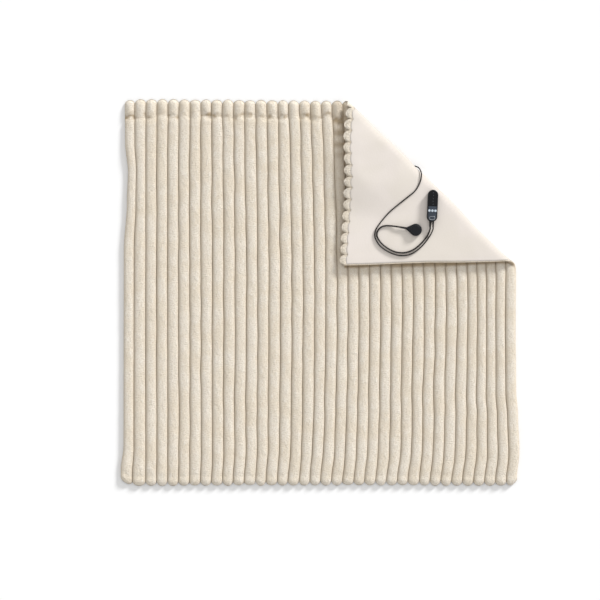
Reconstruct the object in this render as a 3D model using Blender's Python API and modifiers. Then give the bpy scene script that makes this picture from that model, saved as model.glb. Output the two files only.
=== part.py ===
"""Heated throw: a ribbed plush face and a brushed back, lying flat with one corner folded over.

The hand control, its cord and the disc connector lie on the folded corner. The mains lead
goes round the fold to a tied coil and a plug beneath the cloth. Metres, +Z up, the origin at
the middle of the underside's outline, on the surface that the throw lies on.
"""

import math

import bmesh
import bpy
from mathutils import Matrix, Vector

# Cloth, laid out flat.
WIDTH = 1.256
LENGTH = 1.226
RIB_COUNT = 36
BACK_THICKNESS = 0.002
LAYER_GAP = 0.0003
GROOVE_THICKNESS = 0.004
RIB_THICKNESS = 0.012
EDGE_THICKNESS = 0.003
SHOULDER = 0.3  # share of a rib's width from its groove to its shoulder
SCALLOP = 0.006
SCALLOP_FADE = 0.02
END_ROUNDING = 0.014
BOW = 0.022  # how far the ribs bow to the right, halfway along them
BOW_START = 0.08  # shares of the width: where the bow starts,
BOW_GROWTH = 0.50  # how wide it takes to grow,
BOW_DECLINE = 0.16  # and how wide it takes to end at the right edge

# The outline is uneven: edge places by how far along that edge they are.
LEFT_EDGE = (  # along, across
    (-0.580, -0.637),
    (-0.500, -0.628),
    (0.130, -0.627),
    (0.290, -0.617),
    (0.385, -0.614),
    (0.480, -0.623),
    (0.600, -0.624),
)
RIGHT_EDGE = (  # along, across
    (-0.600, 0.630),
    (-0.520, 0.6376),
    (-0.400, 0.633),
    (-0.330, 0.627),
    (0.060, 0.623),
    (0.300, 0.625),
    (0.613, 0.634),
)
BOTTOM_EDGE = (  # across, along
    (-0.628, -0.600),
    (-0.590, -0.614),
    (0.200, -0.612),
    (0.600, -0.614),
    (0.628, -0.606),
)
TOP_EDGE = (  # across, along
    (-0.628, 0.611),
    (-0.560, 0.614),
    (0.000, 0.610),
    (0.080, 0.611),
    (0.280, 0.626),
    (0.628, 0.650),
)

# Pinched seams across the ribs, measured from the two ends.
TOP_SEAM = 0.051
BOTTOM_SEAM = 0.027
SEAM_WIDTH = 0.009
TOP_PINCH_LEFT = 0.45  # share of a rib's rise that the top seam takes, at each side
TOP_PINCH_RIGHT = 0.15
BOTTOM_PINCH = 0.15

# The corner folded over along a line at 45 degrees: "outward" is the distance towards the
# folded corner, "sideways" runs along the fold.
FOLD_EDGE = 0.500
FOLD_RADIUS = 0.016
FOLD_LINES = 5
FOLD_SQUEEZE = 0.25  # share of its thickness that the plush loses inside the fold
FOLD_PULL = 0.020  # how far the upper end of the folded corner is drawn along the fold
FOLD_PULL_START = 0.10
FOLD_PULL_LENGTH = 0.25
FLAP_SETTLE = 0.0014
FLAP_SETTLE_LENGTH = 0.12
FOLD_BULGE_LENGTH = 0.18
FOLD_BULGE = (  # sideways, outward
    (-0.372, 0.0055),
    (-0.313, 0.0010),
    (-0.203, -0.0010),
    (-0.098, 0.0035),
    (0.012, 0.0012),
    (0.060, -0.0020),
    (0.121, 0.0012),
    (0.234, -0.0030),
    (0.343, -0.0030),
)

# The low mound over the coil and the plug.
MOUND_CENTRE = (0.180, 0.414)
MOUND_TOP_RADIUS = 0.060
MOUND_SLOPE = 0.130
MOUND_HEIGHT = 0.0132

# Grid of the cloth meshes.
END_ROWS = (0.0, 0.006, 0.030, 0.051, 0.078)
BODY_ROW_STEP = 0.160
FINE_ROWS = tuple(0.20 + 0.04 * step for step in range(10))
FINE_ROWS_FROM_X = 0.02

# Hand control, in its own frame: +Y towards the display, underside at 0.
CONTROL_PLACE = (0.3571, 0.2752)
CONTROL_TURN = math.radians(-2.5)
CONTROL_RADIUS = 0.0165
CONTROL_HALF_LENGTH = 0.051
CONTROL_THICKNESS = 0.016
SHELL_SPLIT = 0.008
SHELL_ROUNDING = 0.0035
CUT_PAST = 0.004  # how far a cutter stands out of what it cuts
WINDOW_RADIUS = 0.0145
WINDOW_START = -0.0005
WINDOW_DEPTH = 0.0016
WINDOW_PROUD = 0.0004
BUTTON_ROW = -0.0157
BUTTON_PITCH = 0.0096
BUTTON_RADIUS = 0.0038
BUTTON_BASE = 0.0121
BUTTON_TOP = 0.0168
BUTTON_ROUNDING = 0.0007
WELL_FLOOR = 0.0110
WELL_CLEARANCE = 0.00035
CORD_EXIT_HEIGHT = 0.008
CORD_EXIT_OFFSET = 0.0046
RELIEF_SOCKET = 0.006
RELIEF_LENGTH = 0.022
RELIEF_WALL = 0.0014  # rubber round the cord where a relief starts
RELIEF_TIP = 0.0005  # and where it ends
RELIEF_RINGS = 3
RING_DEPTH = 0.0003

# Connector, in its own frame: +X towards its cord, underside at 0.
CONNECTOR_PLACE = (0.3040, 0.1990)
CONNECTOR_TURN = math.radians(170)
CONNECTOR_RADIUS = 0.0195
CONNECTOR_THICKNESS = 0.0105
CONNECTOR_ROUNDING = 0.0025
NECK_REACH = 0.0285
NECK_HALF_WIDTH = 0.0042
LID_RADIUS = 0.0150
LID_THICKNESS = 0.0025
LID_ROUNDING = 0.001
CONNECTOR_RELIEF_LENGTH = 0.022

# Plug, in its own frame: +Y along its blades, underside at 0.
PLUG_PLACE = (0.1465, 0.4330)
PLUG_WIDTH = 0.020
PLUG_LENGTH = 0.026
PLUG_THICKNESS = 0.011
PLUG_ROUNDING = 0.002
BLADE_PITCH = 0.0127
BLADE_WIDTH = 0.0063
BLADE_THICKNESS = 0.0015
BLADE_LENGTH = 0.016
BLADE_ROUNDING = 0.0004
PLUG_RELIEF_LENGTH = 0.020

# Cords.
CONTROL_CORD_RADIUS = 0.0025
MAINS_CORD_RADIUS = 0.0020
CONTROL_CORD_STEP = 0.0125  # between the points of each tube
MAINS_CORD_STEP = 0.0140
TAIL_STEP = 0.0080
CURVE_PARTS = 24  # of the smooth curve between two points of a route
NAP = 0.001  # the brushed back's nap, which holds things off the cloth
COIL_CENTRE = (0.1945, 0.4066)
COIL_INNER_RADIUS = 0.0155
COIL_OUTER_RADIUS = 0.0325
COIL_BOTTOM = 0.0015
COIL_TOP = 0.0101
COIL_CORNER = 0.002
TIE_ANGLE = math.radians(35)
TIE_THICKNESS = 0.0010
TIE_WIDTH = 0.006
CLEARANCE = 0.0003

# Straight stretches, measured out from where a cord leaves the control and the connector.
EXIT_REACHES = (CLEARANCE, 0.004, 0.009)
CONNECTOR_REACHES = (0.012, 0.005, 0.0)
PLUG_STRAIGHT = 0.005

CONTROL_CORD_ROUTE = (  # x, y on the folded corner, from the control to the connector
    (0.3415, 0.1810),
    (0.3245, 0.1590),
    (0.3020, 0.1395),
    (0.2800, 0.1290),
    (0.2600, 0.1262),
    (0.2390, 0.1292),
    (0.2165, 0.1395),
    (0.1975, 0.1540),
    (0.1855, 0.1690),
    (0.1805, 0.1835),
    (0.1842, 0.1975),
    (0.1930, 0.2072),
    (0.2067, 0.2120),
    (0.2250, 0.2118),
)
MAINS_CORD_ROUTE = (  # x, y on the folded corner, from the control to the fold
    (0.3475, 0.1770),
    (0.3270, 0.1508),
    (0.3035, 0.1305),
    (0.2832, 0.1202),
    (0.2608, 0.1172),
    (0.2384, 0.1208),
    (0.2130, 0.1318),
    (0.1915, 0.1475),
    (0.1790, 0.1650),
    (0.1738, 0.1820),
    (0.1770, 0.1985),
    (0.1860, 0.2140),
    (0.2000, 0.2325),
    (0.2182, 0.2534),
    (0.2384, 0.2714),
    (0.2608, 0.2893),
    (0.2832, 0.3072),
    (0.3011, 0.3219),
    (0.3123, 0.3386),
    (0.3196, 0.3565),
)
ROUND_THE_FOLD = (  # outward, sideways, height: over the fold's edge and under the cloth
    (0.4930, 0.0375, 0.0385),
    (0.5000, 0.0480, 0.0330),
    (0.5032, 0.0600, 0.0220),
    (0.4990, 0.0720, 0.0110),
    (0.4905, 0.0830, 0.0058),
    (0.4800, 0.0930, 0.0028),
)
UNDER_THE_CLOTH = (  # x, y on the surface below, to the coil's outer side
    (0.2560, 0.4000),
    (0.2360, 0.3870),
    (0.2180, 0.3765),
    (0.2020, 0.3720),
)
PLUG_TAIL_ROUTE = (  # x, y, height: from the coil to the plug
    (0.1790, 0.3740, 0.0075),
    (0.1680, 0.3775, 0.0070),
    (0.1560, 0.3840, 0.0060),
    (0.1485, 0.3925, 0.0056),
)

MATERIALS = {  # name: (colour, roughness, metallic)
    "plush": ((0.78, 0.69, 0.58), 0.95, 0.0),
    "fleece": ((0.80, 0.74, 0.68), 0.95, 0.0),
    "shell_plastic": ((0.035, 0.045, 0.060), 0.40, 0.0),
    "window_plastic": ((0.010, 0.010, 0.012), 0.08, 0.0),
    "button_plastic": ((0.62, 0.68, 0.74), 0.35, 0.0),
    "cord_sleeve": ((0.030, 0.028, 0.027), 0.55, 0.0),
    "blade_metal": ((0.80, 0.68, 0.42), 0.30, 1.0),
}


def smooth_step(value):
    value = min(max(value, 0.0), 1.0)
    return value * value * (3.0 - 2.0 * value)


def follow(table, place):
    """The table's second column at this value of its first, eased from row to row."""
    for (start, first), (end, second) in zip(table, table[1:]):
        if place <= end:
            return first + (second - first) * smooth_step((place - start) / (end - start))
    return table[-1][1]


def turn_to_fold(x, y):
    return (x + y) / math.sqrt(2), (y - x) / math.sqrt(2)


def turn_from_fold(outward, sideways):
    return (outward - sideways) / math.sqrt(2), (outward + sideways) / math.sqrt(2)


def mound(x, y):
    distance = math.hypot(x - MOUND_CENTRE[0], y - MOUND_CENTRE[1])
    return MOUND_HEIGHT * (1.0 - smooth_step((distance - MOUND_TOP_RADIUS) / MOUND_SLOPE))


def settle(inward):
    """How far the folded corner has come down, this far in from the fold's edge."""
    return FLAP_SETTLE * smooth_step(inward / FLAP_SETTLE_LENGTH)


def flap_top(x, y):
    inward = FOLD_EDGE - turn_to_fold(x, y)[0]
    return 2.0 * FOLD_RADIUS - settle(inward) + mound(x, y)


def rib_roundness(across):
    """0 in a groove, 1 along the crest of a rib."""
    place = (across / WIDTH + 0.5) * RIB_COUNT
    from_groove = abs(place - round(place))
    return math.sqrt(max(0.0, 1.0 - (1.0 - 2.0 * from_groove) ** 2))


def seam_pinch(distance, seam, strength):
    return 1.0 - strength * math.exp(-(((distance - seam) / SEAM_WIDTH) ** 2))


def face_thickness(across, along):
    from_top = LENGTH / 2 - along
    from_bottom = LENGTH / 2 + along
    from_end = min(from_top, from_bottom, END_ROUNDING) / END_ROUNDING
    end_rise = math.sqrt(1.0 - (1.0 - from_end) ** 2)
    rise = (RIB_THICKNESS - GROOVE_THICKNESS) * rib_roundness(across) * end_rise
    share = across / WIDTH + 0.5
    top_pinch = TOP_PINCH_LEFT + (TOP_PINCH_RIGHT - TOP_PINCH_LEFT) * share
    rise *= seam_pinch(from_top, TOP_SEAM, top_pinch)
    rise *= seam_pinch(from_bottom, BOTTOM_SEAM, BOTTOM_PINCH)
    return EDGE_THICKNESS + (GROOVE_THICKNESS - EDGE_THICKNESS) * end_rise + rise


def outline_place(across, along):
    """Where a point of the plain rectangle lies once its edges are as uneven as they are."""
    share = across / WIDTH + 0.5
    rise = along / LENGTH + 0.5
    left, right = follow(LEFT_EDGE, along), follow(RIGHT_EDGE, along)
    bottom, top = follow(BOTTOM_EDGE, across), follow(TOP_EDGE, across)
    grown = smooth_step((share - BOW_START) / BOW_GROWTH) * smooth_step((1.0 - share) / BOW_DECLINE)
    bow = BOW * math.sin(math.pi * rise) * grown
    near_top = math.exp((along - LENGTH / 2) / SCALLOP_FADE)
    near_bottom = math.exp(-(along + LENGTH / 2) / SCALLOP_FADE)
    bump = SCALLOP * (rib_roundness(across) - 0.5) * (near_top - near_bottom)
    return left + (right - left) * share + bow, bottom + (top - bottom) * rise + bump


def lie(across, along, height):
    """Where a point of the flat cloth, this far above its underside, comes to rest."""
    x, y = outline_place(across, along)
    outward, sideways = turn_to_fold(x, y)
    bend_start = FOLD_EDGE - FOLD_RADIUS
    past = outward - bend_start
    bend_length = math.pi * FOLD_RADIUS
    pull = FOLD_PULL * smooth_step((sideways - FOLD_PULL_START) / FOLD_PULL_LENGTH)
    sideways += pull * smooth_step(past / bend_length)
    if past > bend_length:
        outward = bend_start - (past - bend_length)
        height = 2.0 * FOLD_RADIUS - height - settle(FOLD_EDGE - outward)
    elif past > 0.0:
        angle = past / FOLD_RADIUS
        squeezed = height * (1.0 - FOLD_SQUEEZE * math.sin(angle))
        outward = bend_start + (FOLD_RADIUS - squeezed) * math.sin(angle)
        height = FOLD_RADIUS - (FOLD_RADIUS - squeezed) * math.cos(angle)
    near = 1.0 - smooth_step((FOLD_EDGE - outward) / FOLD_BULGE_LENGTH)
    x, y = turn_from_fold(outward + follow(FOLD_BULGE, sideways) * near, sideways)
    return Vector((x, y, height + mound(x, y)))


def shoulder_column(across):
    """Whether this is one of the two lines along a rib that only the ribbed side needs."""
    place = (across / WIDTH + 0.5) * RIB_COUNT
    return abs(place - round(place)) > 0.1


def row_places():
    low = [-LENGTH / 2 + inset for inset in END_ROWS]
    high = [LENGTH / 2 - inset for inset in reversed(END_ROWS)]
    count = math.ceil((high[0] - low[-1]) / BODY_ROW_STEP)
    step = (high[0] - low[-1]) / count
    return low + [low[-1] + step * row for row in range(1, count)] + high


def cut(mesh, faces, point, normal):
    geometry = set(faces)
    for face in faces:
        geometry.update(face.edges)
        geometry.update(face.verts)
    bmesh.ops.bisect_plane(
        mesh, geom=list(geometry), dist=1e-5, plane_co=point, plane_no=normal
    )


def ribbed_sheet():
    """The flat rectangle with a line along each groove and shoulder, and cuts where it bends."""
    rows = row_places()
    mesh = bmesh.new()
    columns = 3 * RIB_COUNT
    bmesh.ops.create_grid(mesh, x_segments=columns, y_segments=len(rows) - 1, size=0.5)
    for vert in mesh.verts:
        rib, line = divmod(round((vert.co.x + 0.5) * columns), 3)
        place = rib + (0.0, SHOULDER, 1.0 - SHOULDER)[line]
        row = round((vert.co.y + 0.5) * (len(rows) - 1))
        vert.co = Vector(((place / RIB_COUNT - 0.5) * WIDTH, rows[row], 0.0))
    for along in FINE_ROWS:
        right = [f for f in mesh.faces if f.calc_center_median().x > FINE_ROWS_FROM_X]
        cut(mesh, right, (0.0, along, 0.0), (0.0, 1.0, 0.0))
    for line in range(FOLD_LINES + 1):
        outward = FOLD_EDGE - FOLD_RADIUS + math.pi * FOLD_RADIUS * line / FOLD_LINES
        point = (*turn_from_fold(outward, 0.0), 0.0)
        cut(mesh, mesh.faces[:], point, (1.0, 1.0, 0.0))
    return mesh


def plain_sheet(ribbed):
    """The same sheet without the shoulder lines, with the same points round its edge."""
    mesh = ribbed.copy()
    lines = [
        edge
        for edge in mesh.edges
        if not edge.is_boundary and all(shoulder_column(vert.co.x) for vert in edge.verts)
        and abs(edge.verts[0].co.x - edge.verts[1].co.x) < 1e-5
    ]
    bmesh.ops.dissolve_edges(mesh, edges=lines, use_verts=False)
    spare = [v for v in mesh.verts if not v.is_boundary and len(v.link_edges) == 2]
    bmesh.ops.dissolve_verts(mesh, verts=spare)
    bmesh.ops.triangulate(mesh, faces=mesh.faces[:])
    return mesh


def closed_panel(name, upper, lower, upper_height, lower_height):
    """A solid between two sheets that share their edge points, laid as the cloth lies."""
    mesh = upper.copy()
    edges = [edge for edge in mesh.edges if edge.is_boundary]
    rim = bmesh.ops.extrude_edge_only(mesh, edges=edges)["geom"]
    for vert in rim:
        if isinstance(vert, bmesh.types.BMVert):
            vert.co.z = -1.0
    under = lower.copy()
    for vert in under.verts:
        vert.co.z = -1.0
    bmesh.ops.reverse_faces(under, faces=under.faces[:])
    sheet = bpy.data.meshes.new("under")
    under.to_mesh(sheet)
    mesh.from_mesh(sheet)
    bpy.data.meshes.remove(sheet)
    bmesh.ops.remove_doubles(mesh, verts=mesh.verts[:], dist=1e-5)
    for vert in mesh.verts:
        above = vert.co.z > -0.5
        height = upper_height(vert.co.x, vert.co.y) if above else lower_height
        vert.co = lie(vert.co.x, vert.co.y, height)
    bmesh.ops.recalc_face_normals(mesh, faces=mesh.faces[:])
    data = bpy.data.meshes.new(name)
    mesh.to_mesh(data)
    return bpy.data.objects.new(name, data)


def smooth_route(points, step):
    """Evenly spaced points on a Catmull-Rom curve through these points."""
    points = [Vector(point) for point in points]
    ends = [2 * points[0] - points[1], *points, 2 * points[-1] - points[-2]]
    dense = []
    for before, start, end, after in zip(ends, ends[1:], ends[2:], ends[3:]):
        for part in range(CURVE_PARTS):
            t = part / CURVE_PARTS
            dense.append(
                0.5 * (2 * start + (end - before) * t
                       + (2 * before - 5 * start + 4 * end - after) * t ** 2
                       + (3 * start - before - 3 * end + after) * t ** 3)
            )
    dense.append(points[-1])
    lengths = [0.0]
    for first, second in zip(dense, dense[1:]):
        lengths.append(lengths[-1] + (second - first).length)
    count = max(3, round(lengths[-1] / step))
    route, at = [], 0
    for place in range(count + 1):
        wanted = lengths[-1] * place / count
        while at < len(lengths) - 2 and lengths[at + 1] < wanted:
            at += 1
        share = (wanted - lengths[at]) / (lengths[at + 1] - lengths[at])
        route.append(dense[at].lerp(dense[at + 1], min(share, 1.0)))
    return route


def tube(name, points, radius):
    curve = bpy.data.curves.new(name, "CURVE")
    curve.dimensions = "3D"
    curve.bevel_depth = radius
    curve.bevel_resolution = 2
    curve.use_fill_caps = True
    spline = curve.splines.new("POLY")
    spline.points.add(len(points) - 1)
    for point, place in zip(spline.points, points):
        point.co = (*place, 1.0)
    return bpy.data.objects.new(name, curve)


def prism(name, outline, bottom, top, rounding=0.0):
    """A flat outline raised from bottom to top, with its rims rounded."""
    curve = bpy.data.curves.new(name, "CURVE")
    curve.dimensions = "2D"
    curve.fill_mode = "BOTH"
    curve.extrude = (top - bottom) / 2
    spline = curve.splines.new("POLY")
    spline.points.add(len(outline) - 1)
    for point, (x, y) in zip(spline.points, outline):
        point.co = (x, y, 0.0, 1.0)
    spline.use_cyclic_u = True
    drawn = bpy.data.objects.new(name + "_outline", curve)
    bpy.context.scene.collection.objects.link(drawn)
    graph = bpy.context.evaluated_depsgraph_get()
    data = bpy.data.meshes.new_from_object(drawn.evaluated_get(graph))
    bpy.data.objects.remove(drawn)
    mesh = bmesh.new()
    mesh.from_mesh(data)
    bmesh.ops.remove_doubles(mesh, verts=mesh.verts[:], dist=1e-6)
    bmesh.ops.translate(mesh, verts=mesh.verts[:], vec=(0.0, 0.0, (top + bottom) / 2))
    bmesh.ops.dissolve_limit(
        mesh, angle_limit=math.radians(1), verts=mesh.verts[:], edges=mesh.edges[:]
    )
    mesh.to_mesh(data)
    data.name = name
    made = bpy.data.objects.new(name, data)
    if rounding:
        bevel = made.modifiers.new("rounded rims", "BEVEL")
        bevel.width = rounding
        bevel.segments = 3
        bevel.limit_method = "ANGLE"
        bevel.angle_limit = math.radians(40)
    return made


def arc(centre, radius, start, end, steps):
    angles = [math.radians(start + (end - start) * step / steps) for step in range(steps + 1)]
    return [(centre[0] + radius * math.cos(a), centre[1] + radius * math.sin(a)) for a in angles]


def pill_outline(radius, half_length):
    end = half_length - radius
    return arc((0.0, end), radius, 0, 180, 14) + arc((0.0, -end), radius, 180, 360, 14)


def window_outline(radius, start):
    end = CONTROL_HALF_LENGTH - CONTROL_RADIUS
    return [(-radius, start), (radius, start)] + arc((0.0, end), radius, 0, 180, 14)


def teardrop_outline():
    """The connector's disc, drawn out into its neck."""
    corner = math.hypot(NECK_REACH, NECK_HALF_WIDTH)
    tangent = math.degrees(math.acos(CONNECTOR_RADIUS / corner))
    tangent += math.degrees(math.atan2(NECK_HALF_WIDTH, NECK_REACH))
    disc = arc((0.0, 0.0), CONNECTOR_RADIUS, tangent, 360 - tangent, 24)
    return disc + [(NECK_REACH, -NECK_HALF_WIDTH), (NECK_REACH, NECK_HALF_WIDTH)]


def turned(name, profile, sides=24):
    """A profile of (radius, height) rows, top to bottom, turned about Z."""
    mesh = bmesh.new()
    verts = [mesh.verts.new((radius, 0.0, height)) for radius, height in profile]
    for first, second in zip(verts, verts[1:]):
        mesh.edges.new((first, second))
    if profile[0][0] > 0 and profile[-1][0] > 0:
        mesh.edges.new((verts[-1], verts[0]))
    data = bpy.data.meshes.new(name)
    mesh.to_mesh(data)
    made = bpy.data.objects.new(name, data)
    screw = made.modifiers.new("turned", "SCREW")
    screw.steps = screw.render_steps = sides
    screw.use_merge_vertices = True
    screw.merge_threshold = 0.00001
    return made


def taper(name, wide, narrow, length):
    """A strain relief: it starts at the origin and narrows along +Z, with ring ridges."""
    pitch = length / (RELIEF_RINGS + 2)
    profile = [(0.0, length), (narrow, length)]
    for ring in range(RELIEF_RINGS, 0, -1):
        at = pitch * (ring + 0.1)
        radius = wide + (narrow - wide) * at / length
        groove = radius - RING_DEPTH
        profile += [(groove, at + 0.6 * pitch), (radius, at + 0.4 * pitch)]
        profile += [(radius, at), (groove, at - 0.2 * pitch)]
    profile += [(wide, 0.3 * pitch), (wide, 0.0), (0.0, 0.0)]
    return turned(name, profile, 12)


def block(name, centre, size, rounding=0.0):
    mesh = bmesh.new()
    bmesh.ops.create_cube(mesh, size=1.0)
    bmesh.ops.scale(mesh, verts=mesh.verts[:], vec=size)
    bmesh.ops.translate(mesh, verts=mesh.verts[:], vec=centre)
    data = bpy.data.meshes.new(name)
    mesh.to_mesh(data)
    made = bpy.data.objects.new(name, data)
    if rounding:
        bevel = made.modifiers.new("rounded edges", "BEVEL")
        bevel.width = rounding
        bevel.segments = 3
    return made


def drum(name, centre, radius, bottom, top, sides=16, rounding=0.0):
    mesh = bmesh.new()
    bmesh.ops.create_cone(
        mesh, cap_ends=True, segments=sides, radius1=radius, radius2=radius, depth=top - bottom
    )
    bmesh.ops.translate(mesh, verts=mesh.verts[:], vec=(*centre, (top + bottom) / 2))
    data = bpy.data.meshes.new(name)
    mesh.to_mesh(data)
    made = bpy.data.objects.new(name, data)
    if rounding:
        bevel = made.modifiers.new("rounded rims", "BEVEL")
        bevel.width = rounding
        bevel.segments = 2
        bevel.limit_method = "ANGLE"
        bevel.angle_limit = math.radians(40)
    return made


def subtract(target, cutter):
    boolean = target.modifiers.new("cut " + cutter.name, "BOOLEAN")
    boolean.operation = "DIFFERENCE"
    boolean.object = cutter


def point_at(made, start, direction):
    """Stands a piece made along +Z at start, pointing in this direction."""
    turn = Vector(direction).to_track_quat("Z", "Y").to_matrix().to_4x4()
    made.matrix_local = Matrix.Translation(start) @ turn


def material(name):
    colour, roughness, metallic = MATERIALS[name]
    made = bpy.data.materials.new(name)
    made.use_nodes = True
    shader = made.node_tree.nodes["Principled BSDF"]
    shader.inputs["Base Color"].default_value = (*colour, 1.0)
    shader.inputs["Roughness"].default_value = roughness
    shader.inputs["Metallic"].default_value = metallic
    return made


class Workshop:
    """The collections, the materials and the seats that the pieces are placed on."""

    def __init__(self):
        for old in list(bpy.data.objects):
            bpy.data.objects.remove(old)
        self.parts = bpy.data.collections.new("heated_throw")
        self.cutters = bpy.data.collections.new("cutters")
        for collection in (self.parts, self.cutters):
            bpy.context.scene.collection.children.link(collection)
        self.materials = {name: material(name) for name in MATERIALS}

    def seat(self, name, place, turn, height):
        empty = bpy.data.objects.new(name, None)
        empty.location = (*place, height)
        empty.rotation_euler.z = turn
        self.parts.objects.link(empty)
        return empty

    def add(self, made, finish, seat=None):
        self.parts.objects.link(made)
        made.data.materials.append(self.materials[finish])
        if made.type == "MESH":
            made.data.shade_smooth()
            made.data.set_sharp_from_angle(angle=math.radians(35))
        made.parent = seat
        return made

    def add_cutter(self, made, seat):
        self.cutters.objects.link(made)
        made.hide_render = True
        made.display_type = "WIRE"
        made.parent = seat
        return made


def build_cloth(shop):
    ribbed = ribbed_sheet()
    plain = plain_sheet(ribbed)
    face_base = BACK_THICKNESS + LAYER_GAP
    face = closed_panel(
        "face_panel", ribbed, plain,
        lambda across, along: face_base + face_thickness(across, along), face_base,
    )
    back = closed_panel("back_panel", plain, plain, lambda across, along: BACK_THICKNESS, 0.0)
    shop.add(face, "plush")
    shop.add(back, "fleece")


def build_control(shop):
    seat = shop.seat("control_seat", CONTROL_PLACE, CONTROL_TURN, control_height())
    outline = pill_outline(CONTROL_RADIUS, CONTROL_HALF_LENGTH)
    top = CONTROL_THICKNESS
    base = prism("control_base", outline, 0.0, SHELL_SPLIT, SHELL_ROUNDING)
    cover = prism("control_cover", outline, SHELL_SPLIT + CLEARANCE, top, SHELL_ROUNDING)
    keep_rim_sharp(base, SHELL_SPLIT)
    keep_rim_sharp(cover, SHELL_SPLIT + CLEARANCE)
    recess = prism(
        "window_cutter", window_outline(WINDOW_RADIUS, WINDOW_START),
        top - WINDOW_DEPTH, top + CUT_PAST,
    )
    subtract(cover, shop.add_cutter(recess, seat))
    window = prism(
        "display_window",
        window_outline(WINDOW_RADIUS - CLEARANCE, WINDOW_START + CLEARANCE),
        top - WINDOW_DEPTH + CLEARANCE,
        top + WINDOW_PROUD,
    )
    for button_name, side in (("left", -1), ("middle", 0), ("right", 1)):
        centre = (side * BUTTON_PITCH, BUTTON_ROW)
        well_radius = BUTTON_RADIUS + WELL_CLEARANCE
        well_top = top + CUT_PAST
        well = drum("well_cutter_" + button_name, centre, well_radius, WELL_FLOOR, well_top)
        subtract(cover, shop.add_cutter(well, seat))
        button = drum(
            "button_" + button_name, centre, BUTTON_RADIUS, BUTTON_BASE, BUTTON_TOP,
            rounding=BUTTON_ROUNDING,
        )
        shop.add(button, "button_plastic", seat)
    for name, side, radius in (
        ("control_cord_relief", -1, CONTROL_CORD_RADIUS),
        ("mains_cord_relief", 1, MAINS_CORD_RADIUS),
    ):
        start = (side * CORD_EXIT_OFFSET, -CONTROL_HALF_LENGTH + RELIEF_SOCKET, CORD_EXIT_HEIGHT)
        relief = taper(name, radius + RELIEF_WALL, radius + RELIEF_TIP, RELIEF_LENGTH)
        point_at(shop.add(relief, "cord_sleeve", seat), start, (0.0, -1.0, 0.0))
        socket_radius = radius + RELIEF_WALL + CLEARANCE
        socket = drum(name + "_cutter", (0.0, 0.0), socket_radius, -CLEARANCE, RELIEF_LENGTH)
        point_at(shop.add_cutter(socket, seat), start, (0.0, -1.0, 0.0))
        subtract(base, socket)
        subtract(cover, socket)
    shop.add(base, "shell_plastic", seat)
    shop.add(cover, "shell_plastic", seat)
    shop.add(window, "window_plastic", seat)


def keep_rim_sharp(made, height):
    """Leaves the rim at this height square, where two shells meet."""
    mesh = bmesh.new()
    mesh.from_mesh(made.data)
    layer = mesh.edges.layers.float.new("bevel_weight_edge")
    for edge in mesh.edges:
        level = all(abs(vert.co.z - height) < 1e-6 for vert in edge.verts)
        flat = abs(edge.verts[0].co.z - edge.verts[1].co.z) < 1e-6
        edge[layer] = 1.0 if flat and not level else 0.0
    mesh.to_mesh(made.data)
    made.modifiers["rounded rims"].limit_method = "WEIGHT"


def control_height():
    return flap_top(*CONTROL_PLACE) + NAP


def connector_height():
    return flap_top(*CONNECTOR_PLACE) + NAP


def in_seat(place, turn, height, point):
    """A point of a seat's frame in the throw's frame."""
    spin = Matrix.Translation((*place, height)) @ Matrix.Rotation(turn, 4, "Z")
    return spin @ Vector(point)


def build_connector(shop):
    seat = shop.seat("connector_seat", CONNECTOR_PLACE, CONNECTOR_TURN, connector_height())
    shell = prism(
        "connector_shell", teardrop_outline(), 0.0, CONNECTOR_THICKNESS, CONNECTOR_ROUNDING
    )
    lid_bottom = CONNECTOR_THICKNESS + CLEARANCE
    lid = drum(
        "connector_lid", (0.0, 0.0), LID_RADIUS, lid_bottom, lid_bottom + LID_THICKNESS,
        sides=24, rounding=LID_ROUNDING,
    )
    relief = taper(
        "connector_relief", CONTROL_CORD_RADIUS + RELIEF_WALL, CONTROL_CORD_RADIUS + RELIEF_TIP,
        CONNECTOR_RELIEF_LENGTH,
    )
    shop.add(shell, "shell_plastic", seat)
    shop.add(lid, "shell_plastic", seat)
    start = (NECK_REACH + CLEARANCE, 0.0, CONNECTOR_THICKNESS / 2)
    point_at(shop.add(relief, "cord_sleeve", seat), start, (1.0, 0.0, 0.0))


def build_plug(shop):
    seat = shop.seat("plug_seat", PLUG_PLACE, 0.0, 0.0)
    middle = PLUG_THICKNESS / 2
    size = (PLUG_WIDTH, PLUG_LENGTH, PLUG_THICKNESS)
    shop.add(block("plug_body", (0.0, 0.0, middle), size, PLUG_ROUNDING), "cord_sleeve", seat)
    front = PLUG_LENGTH / 2 + CLEARANCE
    for name, side in (("plug_blade_left", -1), ("plug_blade_right", 1)):
        centre = (side * BLADE_PITCH / 2, front + BLADE_LENGTH / 2, middle)
        size = (BLADE_THICKNESS, BLADE_LENGTH, BLADE_WIDTH)
        shop.add(block(name, centre, size, BLADE_ROUNDING), "blade_metal", seat)
    relief = taper(
        "plug_relief", MAINS_CORD_RADIUS + RELIEF_WALL, MAINS_CORD_RADIUS + RELIEF_TIP,
        PLUG_RELIEF_LENGTH,
    )
    point_at(shop.add(relief, "cord_sleeve", seat), (0.0, -front, middle), (0.0, -1.0, 0.0))


def control_exit(side, reach):
    """A point on the line of a cord's exit, this far out from the relief's end."""
    start = -CONTROL_HALF_LENGTH + RELIEF_SOCKET - RELIEF_LENGTH - reach
    point = (side * CORD_EXIT_OFFSET, start, CORD_EXIT_HEIGHT)
    return in_seat(CONTROL_PLACE, CONTROL_TURN, control_height(), point)


def on_flap(route, radius):
    return [Vector((x, y, flap_top(x, y) + NAP + radius)) for x, y in route]


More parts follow.
